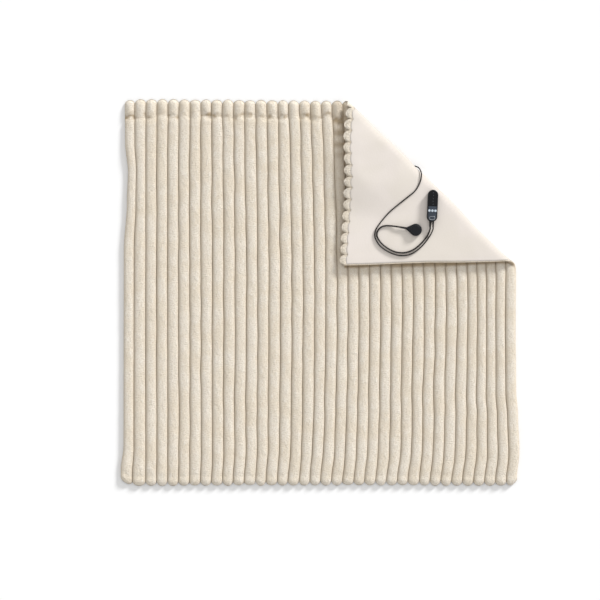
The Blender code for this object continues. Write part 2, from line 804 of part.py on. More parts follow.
def build_cords(shop):
    reach = NECK_REACH + CONNECTOR_RELIEF_LENGTH + 2 * CLEARANCE
    middle = CONNECTOR_THICKNESS / 2
    into_connector = [
        in_seat(CONNECTOR_PLACE, CONNECTOR_TURN, connector_height(), (reach + out, 0.0, middle))
        for out in CONNECTOR_REACHES
    ]
    control_route = [control_exit(-1, out) for out in EXIT_REACHES]
    control_route += on_flap(CONTROL_CORD_ROUTE, CONTROL_CORD_RADIUS) + into_connector
    route = smooth_route(control_route, CONTROL_CORD_STEP)
    shop.add(tube("control_cord", route, CONTROL_CORD_RADIUS), "cord_sleeve")

    mains_route = [control_exit(1, out) for out in EXIT_REACHES]
    mains_route += on_flap(MAINS_CORD_ROUTE, MAINS_CORD_RADIUS)
    for outward, sideways, height in ROUND_THE_FOLD:
        mains_route.append(Vector((*turn_from_fold(outward, sideways), height)))
    mains_route += [Vector((x, y, MAINS_CORD_RADIUS + CLEARANCE)) for x, y in UNDER_THE_CLOTH]
    route = smooth_route(mains_route, MAINS_CORD_STEP)
    shop.add(tube("mains_cord", route, MAINS_CORD_RADIUS), "cord_sleeve")
    route = smooth_route(tail_route(), TAIL_STEP)
    shop.add(tube("mains_cord_tail", route, MAINS_CORD_RADIUS), "cord_sleeve")


def tail_route():
    relief_end = PLUG_LENGTH / 2 + 3 * CLEARANCE + PLUG_RELIEF_LENGTH
    end = (PLUG_PLACE[0], PLUG_PLACE[1] - relief_end, PLUG_THICKNESS / 2)
    before = (end[0], end[1] - PLUG_STRAIGHT, end[2])
    return [*PLUG_TAIL_ROUTE, before, end]


def build_coil(shop):
    corner = COIL_CORNER
    rim = []
    for radius, height, start in (
        (COIL_OUTER_RADIUS - corner, COIL_TOP - corner, 90),
        (COIL_OUTER_RADIUS - corner, COIL_BOTTOM + corner, 0),
        (COIL_INNER_RADIUS + corner, COIL_BOTTOM + corner, -90),
        (COIL_INNER_RADIUS + corner, COIL_TOP - corner, -180),
    ):
        rim += arc((radius, height), corner, start, start - 90, 2)
    coil = turned("mains_coil", rim, 24)
    shop.add(coil, "cord_sleeve").location = (*COIL_CENTRE, 0.0)
    inner = math.sqrt(COIL_INNER_RADIUS ** 2 - (TIE_WIDTH / 2) ** 2) - CLEARANCE
    outer = COIL_OUTER_RADIUS + CLEARANCE
    width = outer - inner
    low = COIL_BOTTOM - CLEARANCE
    high = COIL_TOP + CLEARANCE
    size = (width + 2 * TIE_THICKNESS, TIE_WIDTH, high - low + 2 * TIE_THICKNESS)
    middle = ((outer + inner) / 2, 0.0, (high + low) / 2)
    seat = shop.seat("tie_seat", COIL_CENTRE, TIE_ANGLE, 0.0)
    tie = block("coil_tie", middle, size)
    hole = block("tie_cutter", middle, (width, 3 * TIE_WIDTH, high - low))
    subtract(tie, shop.add_cutter(hole, seat))
    shop.add(tie, "cord_sleeve", seat)


def main():
    shop = Workshop()
    build_cloth(shop)
    build_control(shop)
    build_connector(shop)
    build_coil(shop)
    build_plug(shop)
    build_cords(shop)


main()
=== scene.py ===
import math
import bmesh
import bpy
from mathutils import Matrix, Vector, noise


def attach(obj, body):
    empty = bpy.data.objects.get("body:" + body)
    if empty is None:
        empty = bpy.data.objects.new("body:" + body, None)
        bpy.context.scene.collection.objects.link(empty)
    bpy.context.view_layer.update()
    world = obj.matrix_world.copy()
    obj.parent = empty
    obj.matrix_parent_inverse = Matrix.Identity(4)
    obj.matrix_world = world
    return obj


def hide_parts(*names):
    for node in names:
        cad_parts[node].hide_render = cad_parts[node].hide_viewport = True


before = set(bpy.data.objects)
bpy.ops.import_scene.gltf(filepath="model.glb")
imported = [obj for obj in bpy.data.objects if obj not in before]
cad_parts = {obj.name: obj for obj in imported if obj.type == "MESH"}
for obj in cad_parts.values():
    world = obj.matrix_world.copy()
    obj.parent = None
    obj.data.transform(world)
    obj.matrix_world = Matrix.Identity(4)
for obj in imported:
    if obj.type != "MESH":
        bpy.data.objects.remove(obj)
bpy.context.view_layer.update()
print("frame loaded:", len(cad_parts), "nodes")

# Camera: straight above the throw, from far off.
cameraSet = {
    "x": -0.064,
    "y": -0.024,
    "height": 6.0,
    "widthSeen": 1.92,
    "sensor": 36.0,
    "farthest": 40.0,
}


def addObject(name, data):
    made = bpy.data.objects.new(name, data)
    bpy.context.scene.collection.objects.link(made)
    return made


def placeCamera():
    data = bpy.data.cameras.new("overheadCamera")
    data.sensor_width = cameraSet["sensor"]
    data.lens = cameraSet["sensor"] * cameraSet["height"] / cameraSet["widthSeen"]
    data.clip_end = cameraSet["farthest"]
    camera = addObject("overheadCamera", data)
    camera.location = (cameraSet["x"], cameraSet["y"], cameraSet["height"])
    bpy.context.scene.camera = camera


placeCamera()
print("camera placed")


# How the cloth lies: as in the CAD model, with finer ribs, deeper scallops and the pile added.
cloth = {
    "width": 1.256,
    "length": 1.226,
    "ribs": 36,
    "backThickness": 0.002,
    "layerGap": 0.0003,
    "clearance": 0.0001,
    "grooveThickness": 0.0035,
    "ribThickness": 0.0122,
    "scallop": 0.0140,
    "scallopPower": 0.62,
    "scallopMiddle": 0.66,
    "scallopVariety": 0.5,
    "scallopReach": 0.02,
    "endRounding": 0.017,
    "topSeam": 0.051,
    "bottomSeam": 0.027,
    "seamWidth": 0.009,
    "hem": 0.018,
    "sideHem": 0.005,
    "hemFade": 0.002,
    "leftLine": -0.6225,
    "leftReach": 2.2,
    "crownPower": 2.4,
    "edgeRoll": 0.12,
    "bow": 0.022,
    "bowStart": 0.08,
    "bowGrowth": 0.50,
    "bowDecline": 0.16,
    "drift": 0.0016,
    "stray": 0.0024,
    "calmEdge": 6.0,
}
leftEdge = (  # along, across
    (-0.580, -0.637), (-0.500, -0.628), (0.130, -0.627), (0.290, -0.617),
    (0.385, -0.614), (0.480, -0.623), (0.600, -0.624),
)
rightEdge = (  # along, across
    (-0.600, 0.630), (-0.520, 0.6376), (-0.400, 0.633), (-0.330, 0.627),
    (0.060, 0.623), (0.300, 0.625), (0.613, 0.634),
)
bottomEdge = (  # across, along
    (-0.628, -0.600), (-0.590, -0.614), (0.200, -0.612), (0.600, -0.614),
    (0.628, -0.606),
)
topEdge = (  # across, along
    (-0.628, 0.611), (-0.560, 0.614), (0.000, 0.610), (0.080, 0.611),
    (0.280, 0.632), (0.628, 0.653),
)
# The folded corner: outward is the distance towards it, sideways runs along the fold.
fold = {
    "edge": 0.500,
    "radius": 0.016,
    "squeeze": 0.25,
    "pull": 0.020,
    "pullStart": 0.10,
    "pullLength": 0.25,
    "settle": 0.0014,
    "settleLength": 0.12,
    "bulgeLength": 0.18,
}
foldBulge = (  # sideways, outward
    (-0.372, 0.0055), (-0.313, 0.0010), (-0.203, -0.0010), (-0.098, 0.0035),
    (0.012, 0.0012), (0.060, -0.0020), (0.121, 0.0012), (0.234, -0.0030),
    (0.343, -0.0030),
)
# The low mound over the coil and the plug.
moundSet = {"x": 0.180, "y": 0.414, "top": 0.060, "slope": 0.130, "height": 0.0132}

# Uneven patterns: how fast each changes along its three directions. A direction that isn't given
# stays at the value here.
patterns = {
    "stray": (7.31, 13.0, 5.2),
    "drift": (0.22, 5.0, 3.7),
    "scallop": (1.9, 9.3, 0.5),
    "slowPile": (45.0, 22.0, 1.3),
    "quickPile": (170.0, 120.0, 4.1),
    "knob": (3.17, 2.5, 0.5),
    "seam": (2.3, 0.5, 40.0),
    "patchy": (80.0, 130.0, 6.6),
    "groove": (3.7, 3.5, 2.2),
    "swelling": (1.7, 6.0, 0.4),
    "wrinkle": (75.0, 230.0, 8.8),
    "fleece": (30.0, 30.0, 2.0),
}


def uneven(pattern, first, second=1.0, third=1.0):
    rates = patterns[pattern]
    return noise.noise(Vector((first * rates[0], second * rates[1], third * rates[2])))


def smoothStep(value):
    value = min(max(value, 0.0), 1.0)
    return value * value * (3.0 - 2.0 * value)


def bell(distance, width):
    return math.exp(-((distance / width) ** 2))


def follow(table, place):
    for (start, first), (end, second) in zip(table, table[1:]):
        if place <= end:
            return first + (second - first) * smoothStep((place - start) / (end - start))
    return table[-1][1]


def turnToFold(x, y):
    return (x + y) / math.sqrt(2), (y - x) / math.sqrt(2)


def turnFromFold(outward, sideways):
    return (outward - sideways) / math.sqrt(2), (outward + sideways) / math.sqrt(2)


def mound(x, y):
    distance = math.hypot(x - moundSet["x"], y - moundSet["y"])
    return moundSet["height"] * (1.0 - smoothStep((distance - moundSet["top"]) / moundSet["slope"]))


def settleDown(inward):
    return fold["settle"] * smoothStep(inward / fold["settleLength"])


def flapTop(x, y):
    inward = fold["edge"] - turnToFold(x, y)[0]
    return 2.0 * fold["radius"] - settleDown(inward) + mound(x, y)


def ribPlace(across):
    return (across / cloth["width"] + 0.5) * cloth["ribs"]


def ribNumber(across):
    return math.floor(ribPlace(across) + 1e-6)


def ribCrown(across):
    place = ribPlace(across)
    share = place - ribNumber(across)
    return math.sqrt(max(0.0, 1.0 - abs(2.0 * share - 1.0) ** cloth["crownPower"]))


def grooveStray(groove, along):
    # Each groove wanders a little by itself, so the ribs swell and narrow.
    return cloth["stray"] * uneven("stray", groove, along)


def outlinePlace(across, along):
    place = ribPlace(across)
    ribs, roll = cloth["ribs"], cloth["edgeRoll"]
    # The first rib is rolled a little under the cloth, so it shows narrower.
    share = (place - roll * min(place, 1.0)) / (ribs - roll)
    rise = along / cloth["length"] + 0.5
    left, right = cloth["leftLine"], follow(rightEdge, along)
    bottom, top = follow(bottomEdge, across), follow(topEdge, across)
    edgeShift = (follow(leftEdge, along) - left) * (1.0 - smoothStep(place / cloth["leftReach"]))
    inside = min(1.0, cloth["calmEdge"] * share, cloth["calmEdge"] * (1.0 - share))
    bow = cloth["bow"] * math.sin(math.pi * min(max(rise, 0.0), 1.0))
    bow *= smoothStep((share - cloth["bowStart"]) / cloth["bowGrowth"])
    waver = bow * smoothStep((1.0 - share) / cloth["bowDecline"])
    waver += cloth["drift"] * inside * uneven("drift", place, along)
    groove = ribNumber(across)
    between = place - groove
    strayed = (1.0 - between) * grooveStray(groove, along) + between * grooveStray(groove + 1, along)
    waver += inside * strayed
    rounding = max(0.0, 1.0 - (2.0 * between - 1.0) ** 2) ** cloth["scallopPower"]
    bump = cloth["scallop"] * (rounding - cloth["scallopMiddle"])
    bump *= 1.0 + cloth["scallopVariety"] * uneven("scallop", groove)
    nearTop = math.exp((along - cloth["length"] / 2) / cloth["scallopReach"])
    nearBottom = math.exp(-(along + cloth["length"] / 2) / cloth["scallopReach"])
    x = left + (right - left) * share + edgeShift + waver
    return x, bottom + (top - bottom) * rise + bump * (nearTop - nearBottom)


def lie(across, along, height):
    x, y = outlinePlace(across, along)
    outward, sideways = turnToFold(x, y)
    bendStart = fold["edge"] - fold["radius"]
    past = outward - bendStart
    bendLength = math.pi * fold["radius"]
    pull = fold["pull"] * smoothStep((sideways - fold["pullStart"]) / fold["pullLength"])
    sideways += pull * smoothStep(past / bendLength)
    if past > bendLength:
        outward = bendStart - (past - bendLength)
        height = 2.0 * fold["radius"] - height - settleDown(fold["edge"] - outward)
    elif past > 0.0:
        angle = past / fold["radius"]
        squeezed = height * (1.0 - fold["squeeze"] * math.sin(angle))
        outward = bendStart + (fold["radius"] - squeezed) * math.sin(angle)
        height = fold["radius"] - (fold["radius"] - squeezed) * math.cos(angle)
    near = 1.0 - smoothStep((fold["edge"] - outward) / fold["bulgeLength"])
    x, y = turnFromFold(outward + follow(foldBulge, sideways) * near, sideways)
    return Vector((x, y, height + mound(x, y)))


# Free cords come first, along the CAD model's own routes.
controlSet = {"place": (0.3571, 0.2752), "turn": -2.5, "halfLength": 0.051, "radius": 0.0165,
              "thickness": 0.016, "exitHeight": 0.008, "exitOffset": 0.0046, "socket": 0.006,
              "relief": 0.022}
connectorSet = {"place": (0.3040, 0.1990), "turn": 170.0, "radius": 0.0195, "thickness": 0.0105,
                "neck": 0.0285, "neckHalf": 0.0042, "relief": 0.022}
plugSet = {"place": (0.1465, 0.4330), "width": 0.020, "length": 0.026, "thickness": 0.011,
           "bladePitch": 0.0127, "bladeWidth": 0.0063, "bladeThickness": 0.0015,
           "bladeLength": 0.016, "relief": 0.020}
cordSet = {"controlRadius": 0.0025, "mainsRadius": 0.0020, "nap": 0.001, "gap": 0.0003,
           "leave": 0.008, "arrive": 0.010, "intoPlug": 0.005, "roundness": 5,
           "sunk": 0.0004, "step": 0.0032, "parts": 24, "coilX": 0.1945, "coilY": 0.4066}
controlCordRoute = (  # x, y on the folded corner, from the control to the connector
    (0.3415, 0.1810), (0.3245, 0.1590), (0.3020, 0.1395), (0.2800, 0.1290),
    (0.2600, 0.1262), (0.2390, 0.1292), (0.2165, 0.1395), (0.1975, 0.1540),
    (0.1855, 0.1690), (0.1805, 0.1835), (0.1842, 0.1975), (0.1930, 0.2072),
    (0.2067, 0.2120), (0.2250, 0.2118),
)
mainsCordRoute = (  # x, y on the folded corner, from the control to the fold
    (0.3475, 0.1770), (0.3270, 0.1508), (0.3035, 0.1305), (0.2832, 0.1202),
    (0.2608, 0.1172), (0.2384, 0.1208), (0.2130, 0.1318), (0.1915, 0.1475),
    (0.1790, 0.1650), (0.1738, 0.1820), (0.1770, 0.1985), (0.1860, 0.2140),
    (0.2000, 0.2325), (0.2182, 0.2534), (0.2384, 0.2714), (0.2608, 0.2893),
    (0.2832, 0.3072), (0.3011, 0.3219), (0.3123, 0.3386), (0.3196, 0.3565),
)
roundTheFold = (  # outward, sideways, height
    (0.4930, 0.0375, 0.0385), (0.5000, 0.0480, 0.0330), (0.5032, 0.0600, 0.0220),
    (0.4990, 0.0720, 0.0110), (0.4905, 0.0830, 0.0058), (0.4800, 0.0930, 0.0028),
)
underTheCloth = (  # x, y on the surface below
    (0.2560, 0.4000), (0.2360, 0.3870), (0.2180, 0.3765),
)
plugTailRoute = (  # x, y, height: from the coil to the plug
    (0.1680, 0.3775, 0.0070), (0.1560, 0.3840, 0.0060), (0.1485, 0.3925, 0.0056),
)
# The coil's turns: the radius of each, the lower layer first.
coilTurns = {"lower": (0.0302, 0.0261, 0.0220, 0.0179), "upper": (0.0200, 0.0240, 0.0281),
             "entry": 0.0345, "exit": 0.0330, "lowHeight": 0.0037, "highHeight": 0.0079,
             "climb": 0.5, "perTurn": 24, "start": -78.0}


def seatOf(piece):
    # Where a hard piece lies on the folded corner, level with the tips of the nap.
    x, y = piece["place"]
    turn = Matrix.Rotation(math.radians(piece["turn"]), 4, "Z")
    return Matrix.Translation((x, y, flapTop(x, y) + cordSet["nap"])) @ turn


controlSeat = seatOf(controlSet)
connectorSeat = seatOf(connectorSet)


def smoothRoute(points, step):
    points = [Vector(point) for point in points]
    ends = [2 * points[0] - points[1], *points, 2 * points[-1] - points[-2]]
    dense = []
    for before, start, end, after in zip(ends, ends[1:], ends[2:], ends[3:]):
        for part in range(cordSet["parts"]):
            t = part / cordSet["parts"]
            dense.append(0.5 * (2 * start + (end - before) * t
                                + (2 * before - 5 * start + 4 * end - after) * t ** 2
                                + (3 * start - before - 3 * end + after) * t ** 3))
    dense.append(points[-1])
    lengths = [0.0]
    for first, second in zip(dense, dense[1:]):
        lengths.append(lengths[-1] + (second - first).length)
    count = max(3, round(lengths[-1] / step))
    route, at = [], 0
    for place in range(count + 1):
        wanted = lengths[-1] * place / count
        while at < len(lengths) - 2 and lengths[at + 1] < wanted:
            at += 1
        share = (wanted - lengths[at]) / (lengths[at + 1] - lengths[at])
        route.append(dense[at].lerp(dense[at + 1], min(share, 1.0)))
    return route


def routeLength(points):
    return sum((second - first).length for first, second in zip(points, points[1:]))


def onFlap(route, radius):
    return [Vector((x, y, flapTop(x, y) + cordSet["nap"] + radius)) for x, y in route]


def controlExit(side, reach):
    start = -controlSet["halfLength"] + controlSet["socket"] - controlSet["relief"] - reach
    return controlSeat @ Vector((side * controlSet["exitOffset"], start, controlSet["exitHeight"]))


def coilPoints():
    points = []
    centre = Vector((cordSet["coilX"], cordSet["coilY"], 0.0))
    radii = [coilTurns["entry"], *coilTurns["lower"], *coilTurns["upper"], coilTurns["exit"]]
    lowCount = len(coilTurns["lower"])
    turns = lowCount + len(coilTurns["upper"])
    total = turns * coilTurns["perTurn"]
    for step in range(total + 1):
        place = step / coilTurns["perTurn"] + 0.5
        low = min(int(place), len(radii) - 2)
        radius = radii[low] + (radii[low + 1] - radii[low]) * smoothStep(place - low)
        climbed = step / coilTurns["perTurn"] - lowCount + coilTurns["climb"] / 2
        climb = smoothStep(climbed / coilTurns["climb"])
        height = coilTurns["lowHeight"] + (coilTurns["highHeight"] - coilTurns["lowHeight"]) * climb
        angle = math.radians(coilTurns["start"]) - 2.0 * math.pi * step / coilTurns["perTurn"]
        points.append(centre + Vector((radius * math.cos(angle), radius * math.sin(angle), height)))
    return points


def cordCurve(name, points, radius):
    curve = bpy.data.curves.new(name, "CURVE")
    curve.dimensions = "3D"
    curve.bevel_depth = radius
    curve.bevel_resolution = cordSet["roundness"]
    curve.use_fill_caps = True
    spline = curve.splines.new("POLY")
    spline.points.add(len(points) - 1)
    for point, place in zip(spline.points, points):
        point.co = (*place, 1.0)
    return addObject(name, curve)


def makeCords():
    reach = connectorSet["neck"] + connectorSet["relief"] - 2 * cordSet["sunk"]
    middle = connectorSet["thickness"] / 2
    intoConnector = [connectorSeat @ Vector((reach + out, 0.0, middle)) for out in (cordSet["arrive"], 0.0)]
    leaving = (-cordSet["sunk"], cordSet["leave"])
    route = [controlExit(-1, out) for out in leaving]
    route += onFlap(controlCordRoute, cordSet["controlRadius"]) + intoConnector
    controlPoints = smoothRoute(route, cordSet["step"])
    route = [controlExit(1, out) for out in leaving]
    route += onFlap(mainsCordRoute, cordSet["mainsRadius"])
    for outward, sideways, height in roundTheFold:
        route.append(Vector((*turnFromFold(outward, sideways), height)))
    route += [Vector((x, y, cordSet["mainsRadius"] + cordSet["gap"])) for x, y in underTheCloth]
    tailEnd = plugSet["length"] / 2 + plugSet["relief"] - 2 * cordSet["sunk"]
    end = Vector((plugSet["place"][0], plugSet["place"][1] - tailEnd, plugSet["thickness"] / 2))
    tail = [Vector(point) for point in plugTailRoute]
    tail += [end - Vector((0.0, cordSet["intoPlug"], 0.0)), end]
    mainsPoints = smoothRoute(route + coilPoints() + tail, cordSet["step"])
    return controlPoints, mainsPoints


controlPoints, mainsPoints = makeCords()
controlLead = cordCurve("controlLead", controlPoints, cordSet["controlRadius"])
mainsLead = cordCurve("mainsLead", mainsPoints, cordSet["mainsRadius"])
print("cords routed:", round(routeLength(controlPoints), 3), round(routeLength(mainsPoints), 3))


def mixNode(tree, factor, first, second):
    mix = tree.nodes.new("ShaderNodeMix")
    mix.data_type = "RGBA"
    for socket, value in (("Factor_Float", factor), ("A_Color", first), ("B_Color", second)):
        target = next(s for s in mix.inputs if s.identifier == socket)
        if isinstance(value, bpy.types.NodeSocket):
            tree.links.new(value, target)
        else:
            target.default_value = value
    return next(s for s in mix.outputs if s.identifier == "Result_Color")


def mathNode(tree, operation, first, second=None, third=None):
    node = tree.nodes.new("ShaderNodeMath")
    node.operation = operation
    for socket, value in zip(node.inputs, (first, second, third)):
        if isinstance(value, bpy.types.NodeSocket):
            tree.links.new(value, socket)
        elif value is not None:
            socket.default_value = value
    return node.outputs[0]


def rangeNode(tree, value, low, high, newLow=0.0, newHigh=1.0):
    node = tree.nodes.new("ShaderNodeMapRange")
    node.interpolation_type = "SMOOTHSTEP"
    tree.links.new(value, node.inputs["Value"])
    node.inputs["From Min"].default_value = low
    node.inputs["From Max"].default_value = high
    node.inputs["To Min"].default_value = newLow
    node.inputs["To Max"].default_value = newHigh
    return node.outputs["Result"]


def noiseNode(tree, vector, scale, detail=3.0, roughness=0.5, distortion=0.0):
    node = tree.nodes.new("ShaderNodeTexNoise")
    tree.links.new(vector, node.inputs["Vector"])
    node.inputs["Scale"].default_value = scale
    node.inputs["Detail"].default_value = detail
    node.inputs["Roughness"].default_value = roughness
    node.inputs["Distortion"].default_value = distortion
    return node.outputs["Fac"]


def stretched(tree, vector, scale):
    node = tree.nodes.new("ShaderNodeMapping")
    tree.links.new(vector, node.inputs["Vector"])
    node.inputs["Scale"].default_value = scale
    return node.outputs["Vector"]


def bumpNode(tree, height, strength, distance, normal=None):
    node = tree.nodes.new("ShaderNodeBump")
    node.inputs["Strength"].default_value = strength
    node.inputs["Distance"].default_value = distance
    tree.links.new(height, node.inputs["Height"])
    if normal is not None:
        tree.links.new(normal, node.inputs["Normal"])
    return node.outputs["Normal"]


def markNode(tree, name):
    node = tree.nodes.new("ShaderNodeAttribute")
    node.attribute_name = name
    return node.outputs["Fac"]


def startMaterial(name, roughness, **settings):
    made = bpy.data.materials.new(name)
    made.use_nodes = True
    tree = made.node_tree
    shader = tree.nodes["Principled BSDF"]
    shader.inputs["Roughness"].default_value = roughness
    for socket, value in settings.items():
        shader.inputs[socket].default_value = value
    return made, tree, shader, tree.nodes.new("ShaderNodeTexCoord").outputs


plushLook = {
    "crest": (0.800, 0.712, 0.580, 1.0),
    "pale": (0.840, 0.770, 0.662, 1.0),
    # painted shade in the grooves
    "groove": (0.450, 0.345, 0.220, 1.0),
    # flank: the dark of the random tufts, and the painted shade down each rib's flanks
    "flank": (0.630, 0.530, 0.395, 1.0),
    "tip": (0.900, 0.840, 0.750, 1.0),
    # painted shade: in the creases, below the knobs, and beside and below the folded corner
    "paintedShadeBrown": (0.400, 0.290, 0.165, 1.0),
    "roughness": 0.92,
    "sheen": 0.35,
    "sheenSpread": 0.6,
    "fibreScale": 900.0,
    "tuftScale": 190.0,
    "clumpScale": 85.0,
    "patchScale": 14.0,
    "raggedGroove": 0.05,
    "grooveShadeReach": (0.020, 0.085),
    "flankShadeReach": (0.05, 0.30),
    "grooveShadeShare": 0.85,
    "flankShadeShare": 0.50,
    "tipShare": 0.55,
    "shadeShare": 0.58,
    "clumpBump": (0.70, 0.0060),
    "tuftBump": (0.90, 0.0042),
    "fibreBump": (0.45, 0.0012),
}


def plushMaterial():
    look = plushLook
    sheen = {"Sheen Weight": look["sheen"], "Sheen Roughness": look["sheenSpread"]}
    made, tree, shader, places = startMaterial("creamPlush", look["roughness"], **sheen)
    uv = places["UV"]
    split = tree.nodes.new("ShaderNodeSeparateXYZ")
    tree.links.new(uv, split.inputs[0])
    ribs = mathNode(tree, "MULTIPLY", split.outputs["X"], cloth["ribs"] / cloth["width"])
    # Distance from the nearest groove, in ribs, made uneven by the pile.
    fromGroove = mathNode(tree, "PINGPONG", ribs, 0.5)
    ragged = noiseNode(tree, stretched(tree, uv, (260.0, 120.0, 1.0)), 1.0)
    ragged = mathNode(tree, "MULTIPLY", ragged, look["raggedGroove"])
    fromGroove = mathNode(tree, "ADD", fromGroove, ragged)
    # Painted shade: deep darkens the colour into each groove, side down each rib's flanks.
    deep = rangeNode(tree, fromGroove, *look["grooveShadeReach"], 1.0, 0.0)
    side = rangeNode(tree, fromGroove, *look["flankShadeReach"], 1.0, 0.0)
    patches = rangeNode(tree, noiseNode(tree, uv, look["patchScale"], 2.0), 0.35, 0.65)
    tufts = noiseNode(tree, stretched(tree, uv, (1.0, 1.6, 1.0)), look["tuftScale"], 4.0, 0.65)
    clumps = noiseNode(tree, stretched(tree, uv, (1.0, 0.55, 1.0)), look["clumpScale"], 3.0, 0.6)
    fibres = noiseNode(tree, stretched(tree, uv, (1.0, 0.35, 1.0)), look["fibreScale"], 2.0, 0.7)
    colour = mixNode(tree, patches, look["crest"], look["pale"])
    light = mathNode(tree, "MULTIPLY", rangeNode(tree, clumps, 0.52, 0.68), look["tipShare"])
    colour = mixNode(tree, light, colour, look["tip"])
    dark = mathNode(tree, "MULTIPLY", rangeNode(tree, tufts, 0.56, 0.36), look["shadeShare"])
    colour = mixNode(tree, dark, colour, look["flank"])
    # Painted shade down each rib's flanks, towards the grooves.
    colour = mixNode(tree, mathNode(tree, "MULTIPLY", side, look["flankShadeShare"]), colour, look["flank"])
    # Painted shade from the per-vertex shade mark: in the creases, below each knob's seam, and beside and
    # below the folded corner.
    marked = markNode(tree, "paintedShade")
    paintedShadeBrown = mathNode(tree, "ADD", marked, mathNode(tree, "MULTIPLY_ADD", tufts, 0.5, -0.25))
    paintedShadeBrown = mathNode(tree, "MULTIPLY", marked, rangeNode(tree, paintedShadeBrown, 0.0, 0.6, 0.60, 1.0))
    colour = mixNode(tree, paintedShadeBrown, colour, look["paintedShadeBrown"])
    # Painted groove shade, stronger at some grooves than at others, as the per-vertex groove mark gives.
    deep = mathNode(tree, "MULTIPLY", deep, markNode(tree, "grooveShade"))
    colour = mixNode(tree, mathNode(tree, "MULTIPLY", deep, look["grooveShadeShare"]), colour, look["groove"])
    tree.links.new(colour, shader.inputs["Base Color"])
    normal = bumpNode(tree, clumps, *look["clumpBump"])
    normal = bumpNode(tree, tufts, *look["tuftBump"], normal)
    normal = bumpNode(tree, fibres, *look["fibreBump"], normal)
    tree.links.new(normal, shader.inputs["Normal"])
    return made


fleeceLook = {
    "base": (0.765, 0.705, 0.635, 1.0),
    "warm": (0.800, 0.735, 0.680, 1.0),
    "shade": (0.670, 0.600, 0.520, 1.0),
    # painted shade round the fold's sunlit bend
    "foldShade": (0.520, 0.470, 0.420, 1.0),
    "roughness": 0.95,
    "sheen": 0.25,
    "patchScale": 7.0,
    "napScale": 700.0,
    "pillScale": 160.0,
    "shadeShare": 0.35,
    "pillBump": (0.18, 0.0015),
    "napBump": (0.25, 0.0006),
}


def fleeceMaterial():
    look = fleeceLook
    sheen = {"Sheen Weight": look["sheen"]}
    made, tree, shader, places = startMaterial("brushedFleece", look["roughness"], **sheen)
    uv = places["UV"]
    patches = rangeNode(tree, noiseNode(tree, uv, look["patchScale"], 2.0, 0.5, 0.4), 0.35, 0.65)
    colour = mixNode(tree, patches, look["base"], look["warm"])
    nap = noiseNode(tree, stretched(tree, uv, (1.0, 0.6, 1.0)), look["napScale"], 3.0, 0.7)
    pills = noiseNode(tree, uv, look["pillScale"], 3.0, 0.6)
    dark = mathNode(tree, "MULTIPLY", rangeNode(tree, nap, 0.48, 0.30), look["shadeShare"])
    colour = mixNode(tree, dark, colour, look["shade"])
    # Painted shade round the fold's bend, from the per-vertex shade mark.
    colour = mixNode(tree, markNode(tree, "paintedShade"), colour, look["foldShade"])
    tree.links.new(colour, shader.inputs["Base Color"])
    normal = bumpNode(tree, pills, *look["pillBump"])
    normal = bumpNode(tree, nap, *look["napBump"], normal)
    tree.links.new(normal, shader.inputs["Normal"])
    return made


plasticWear = {"scale": 900.0, "darker": 0.86, "duller": 0.05, "grainScale": 3500.0, "grainDepth": 0.0002}


def plainPlastic(name, colour, roughness, grain, **settings):
    made, tree, shader, places = startMaterial(name, roughness, **settings)
    wear = noiseNode(tree, places["Object"], plasticWear["scale"], 3.0, 0.6)
    darker = tuple(plasticWear["darker"] * part for part in colour) + (1.0,)
    tree.links.new(mixNode(tree, wear, darker, (*colour, 1.0)), shader.inputs["Base Color"])
    span = plasticWear["duller"]
    rough = rangeNode(tree, wear, 0.3, 0.7, (1.0 - span) * roughness, (1.0 + span) * roughness)
    tree.links.new(rough, shader.inputs["Roughness"])
    fine = noiseNode(tree, places["Object"], plasticWear["grainScale"], 2.0)
    tree.links.new(bumpNode(tree, fine, grain, plasticWear["grainDepth"]), shader.inputs["Normal"])
    return made


threadLook = {
    "dark": (0.80, 0.76, 0.69, 1.0),
    "light": (0.88, 0.85, 0.80, 1.0),
    "roughness": 0.55,
    "twistScale": 900.0,
    "uneven": 2.0,
    "bump": (0.4, 0.0002),
}


def threadMaterial():
    look = threadLook
    made, tree, shader, places = startMaterial("seamThread", look["roughness"])
    twist = tree.nodes.new("ShaderNodeTexWave")
    tree.links.new(places["Object"], twist.inputs["Vector"])
    twist.inputs["Scale"].default_value = look["twistScale"]
    twist.inputs["Distortion"].default_value = look["uneven"]
    colour = mixNode(tree, twist.outputs["Fac"], look["dark"], look["light"])
    tree.links.new(colour, shader.inputs["Base Color"])
    tree.links.new(bumpNode(tree, twist.outputs["Fac"], *look["bump"]), shader.inputs["Normal"])
    return made


dull = {"Specular IOR Level": 0.28}
looks = {
    "plush": plushMaterial(),
    "fleece": fleeceMaterial(),
    "thread": threadMaterial(),
    "shell": plainPlastic("shellPlastic", (0.010, 0.011, 0.014), 0.36, 0.12, **dull),
    "panel": plainPlastic("panelPlastic", (0.046, 0.058, 0.076), 0.24, 0.05, **dull),
    "window": plainPlastic("windowPlastic", (0.004, 0.004, 0.005), 0.08, 0.0, **dull),
    "button": plainPlastic("buttonPlastic", (0.62, 0.70, 0.78), 0.28, 0.05),
    "trim": plainPlastic("silverTrim", (0.62, 0.65, 0.68), 0.25, 0.04, **{"Metallic": 0.9}),
    "lamp": plainPlastic("lampLens", (0.16, 0.18, 0.20), 0.20, 0.0),
    "sleeve": plainPlastic("cordSleeve", (0.020, 0.016, 0.014), 0.48, 0.15, **dull),
    "rubber": plainPlastic("reliefRubber", (0.016, 0.014, 0.013), 0.60, 0.25, **dull),
    "strap": plainPlastic("tieStrap", (0.030, 0.029, 0.028), 0.75, 0.5),
    "blade": plainPlastic("bladeMetal", (0.80, 0.66, 0.40), 0.28, 0.05, **{"Metallic": 1.0}),
}
print("materials ready")


def giveLook(piece, look):
    piece.data.materials.clear()
    piece.data.materials.append(looks[look])


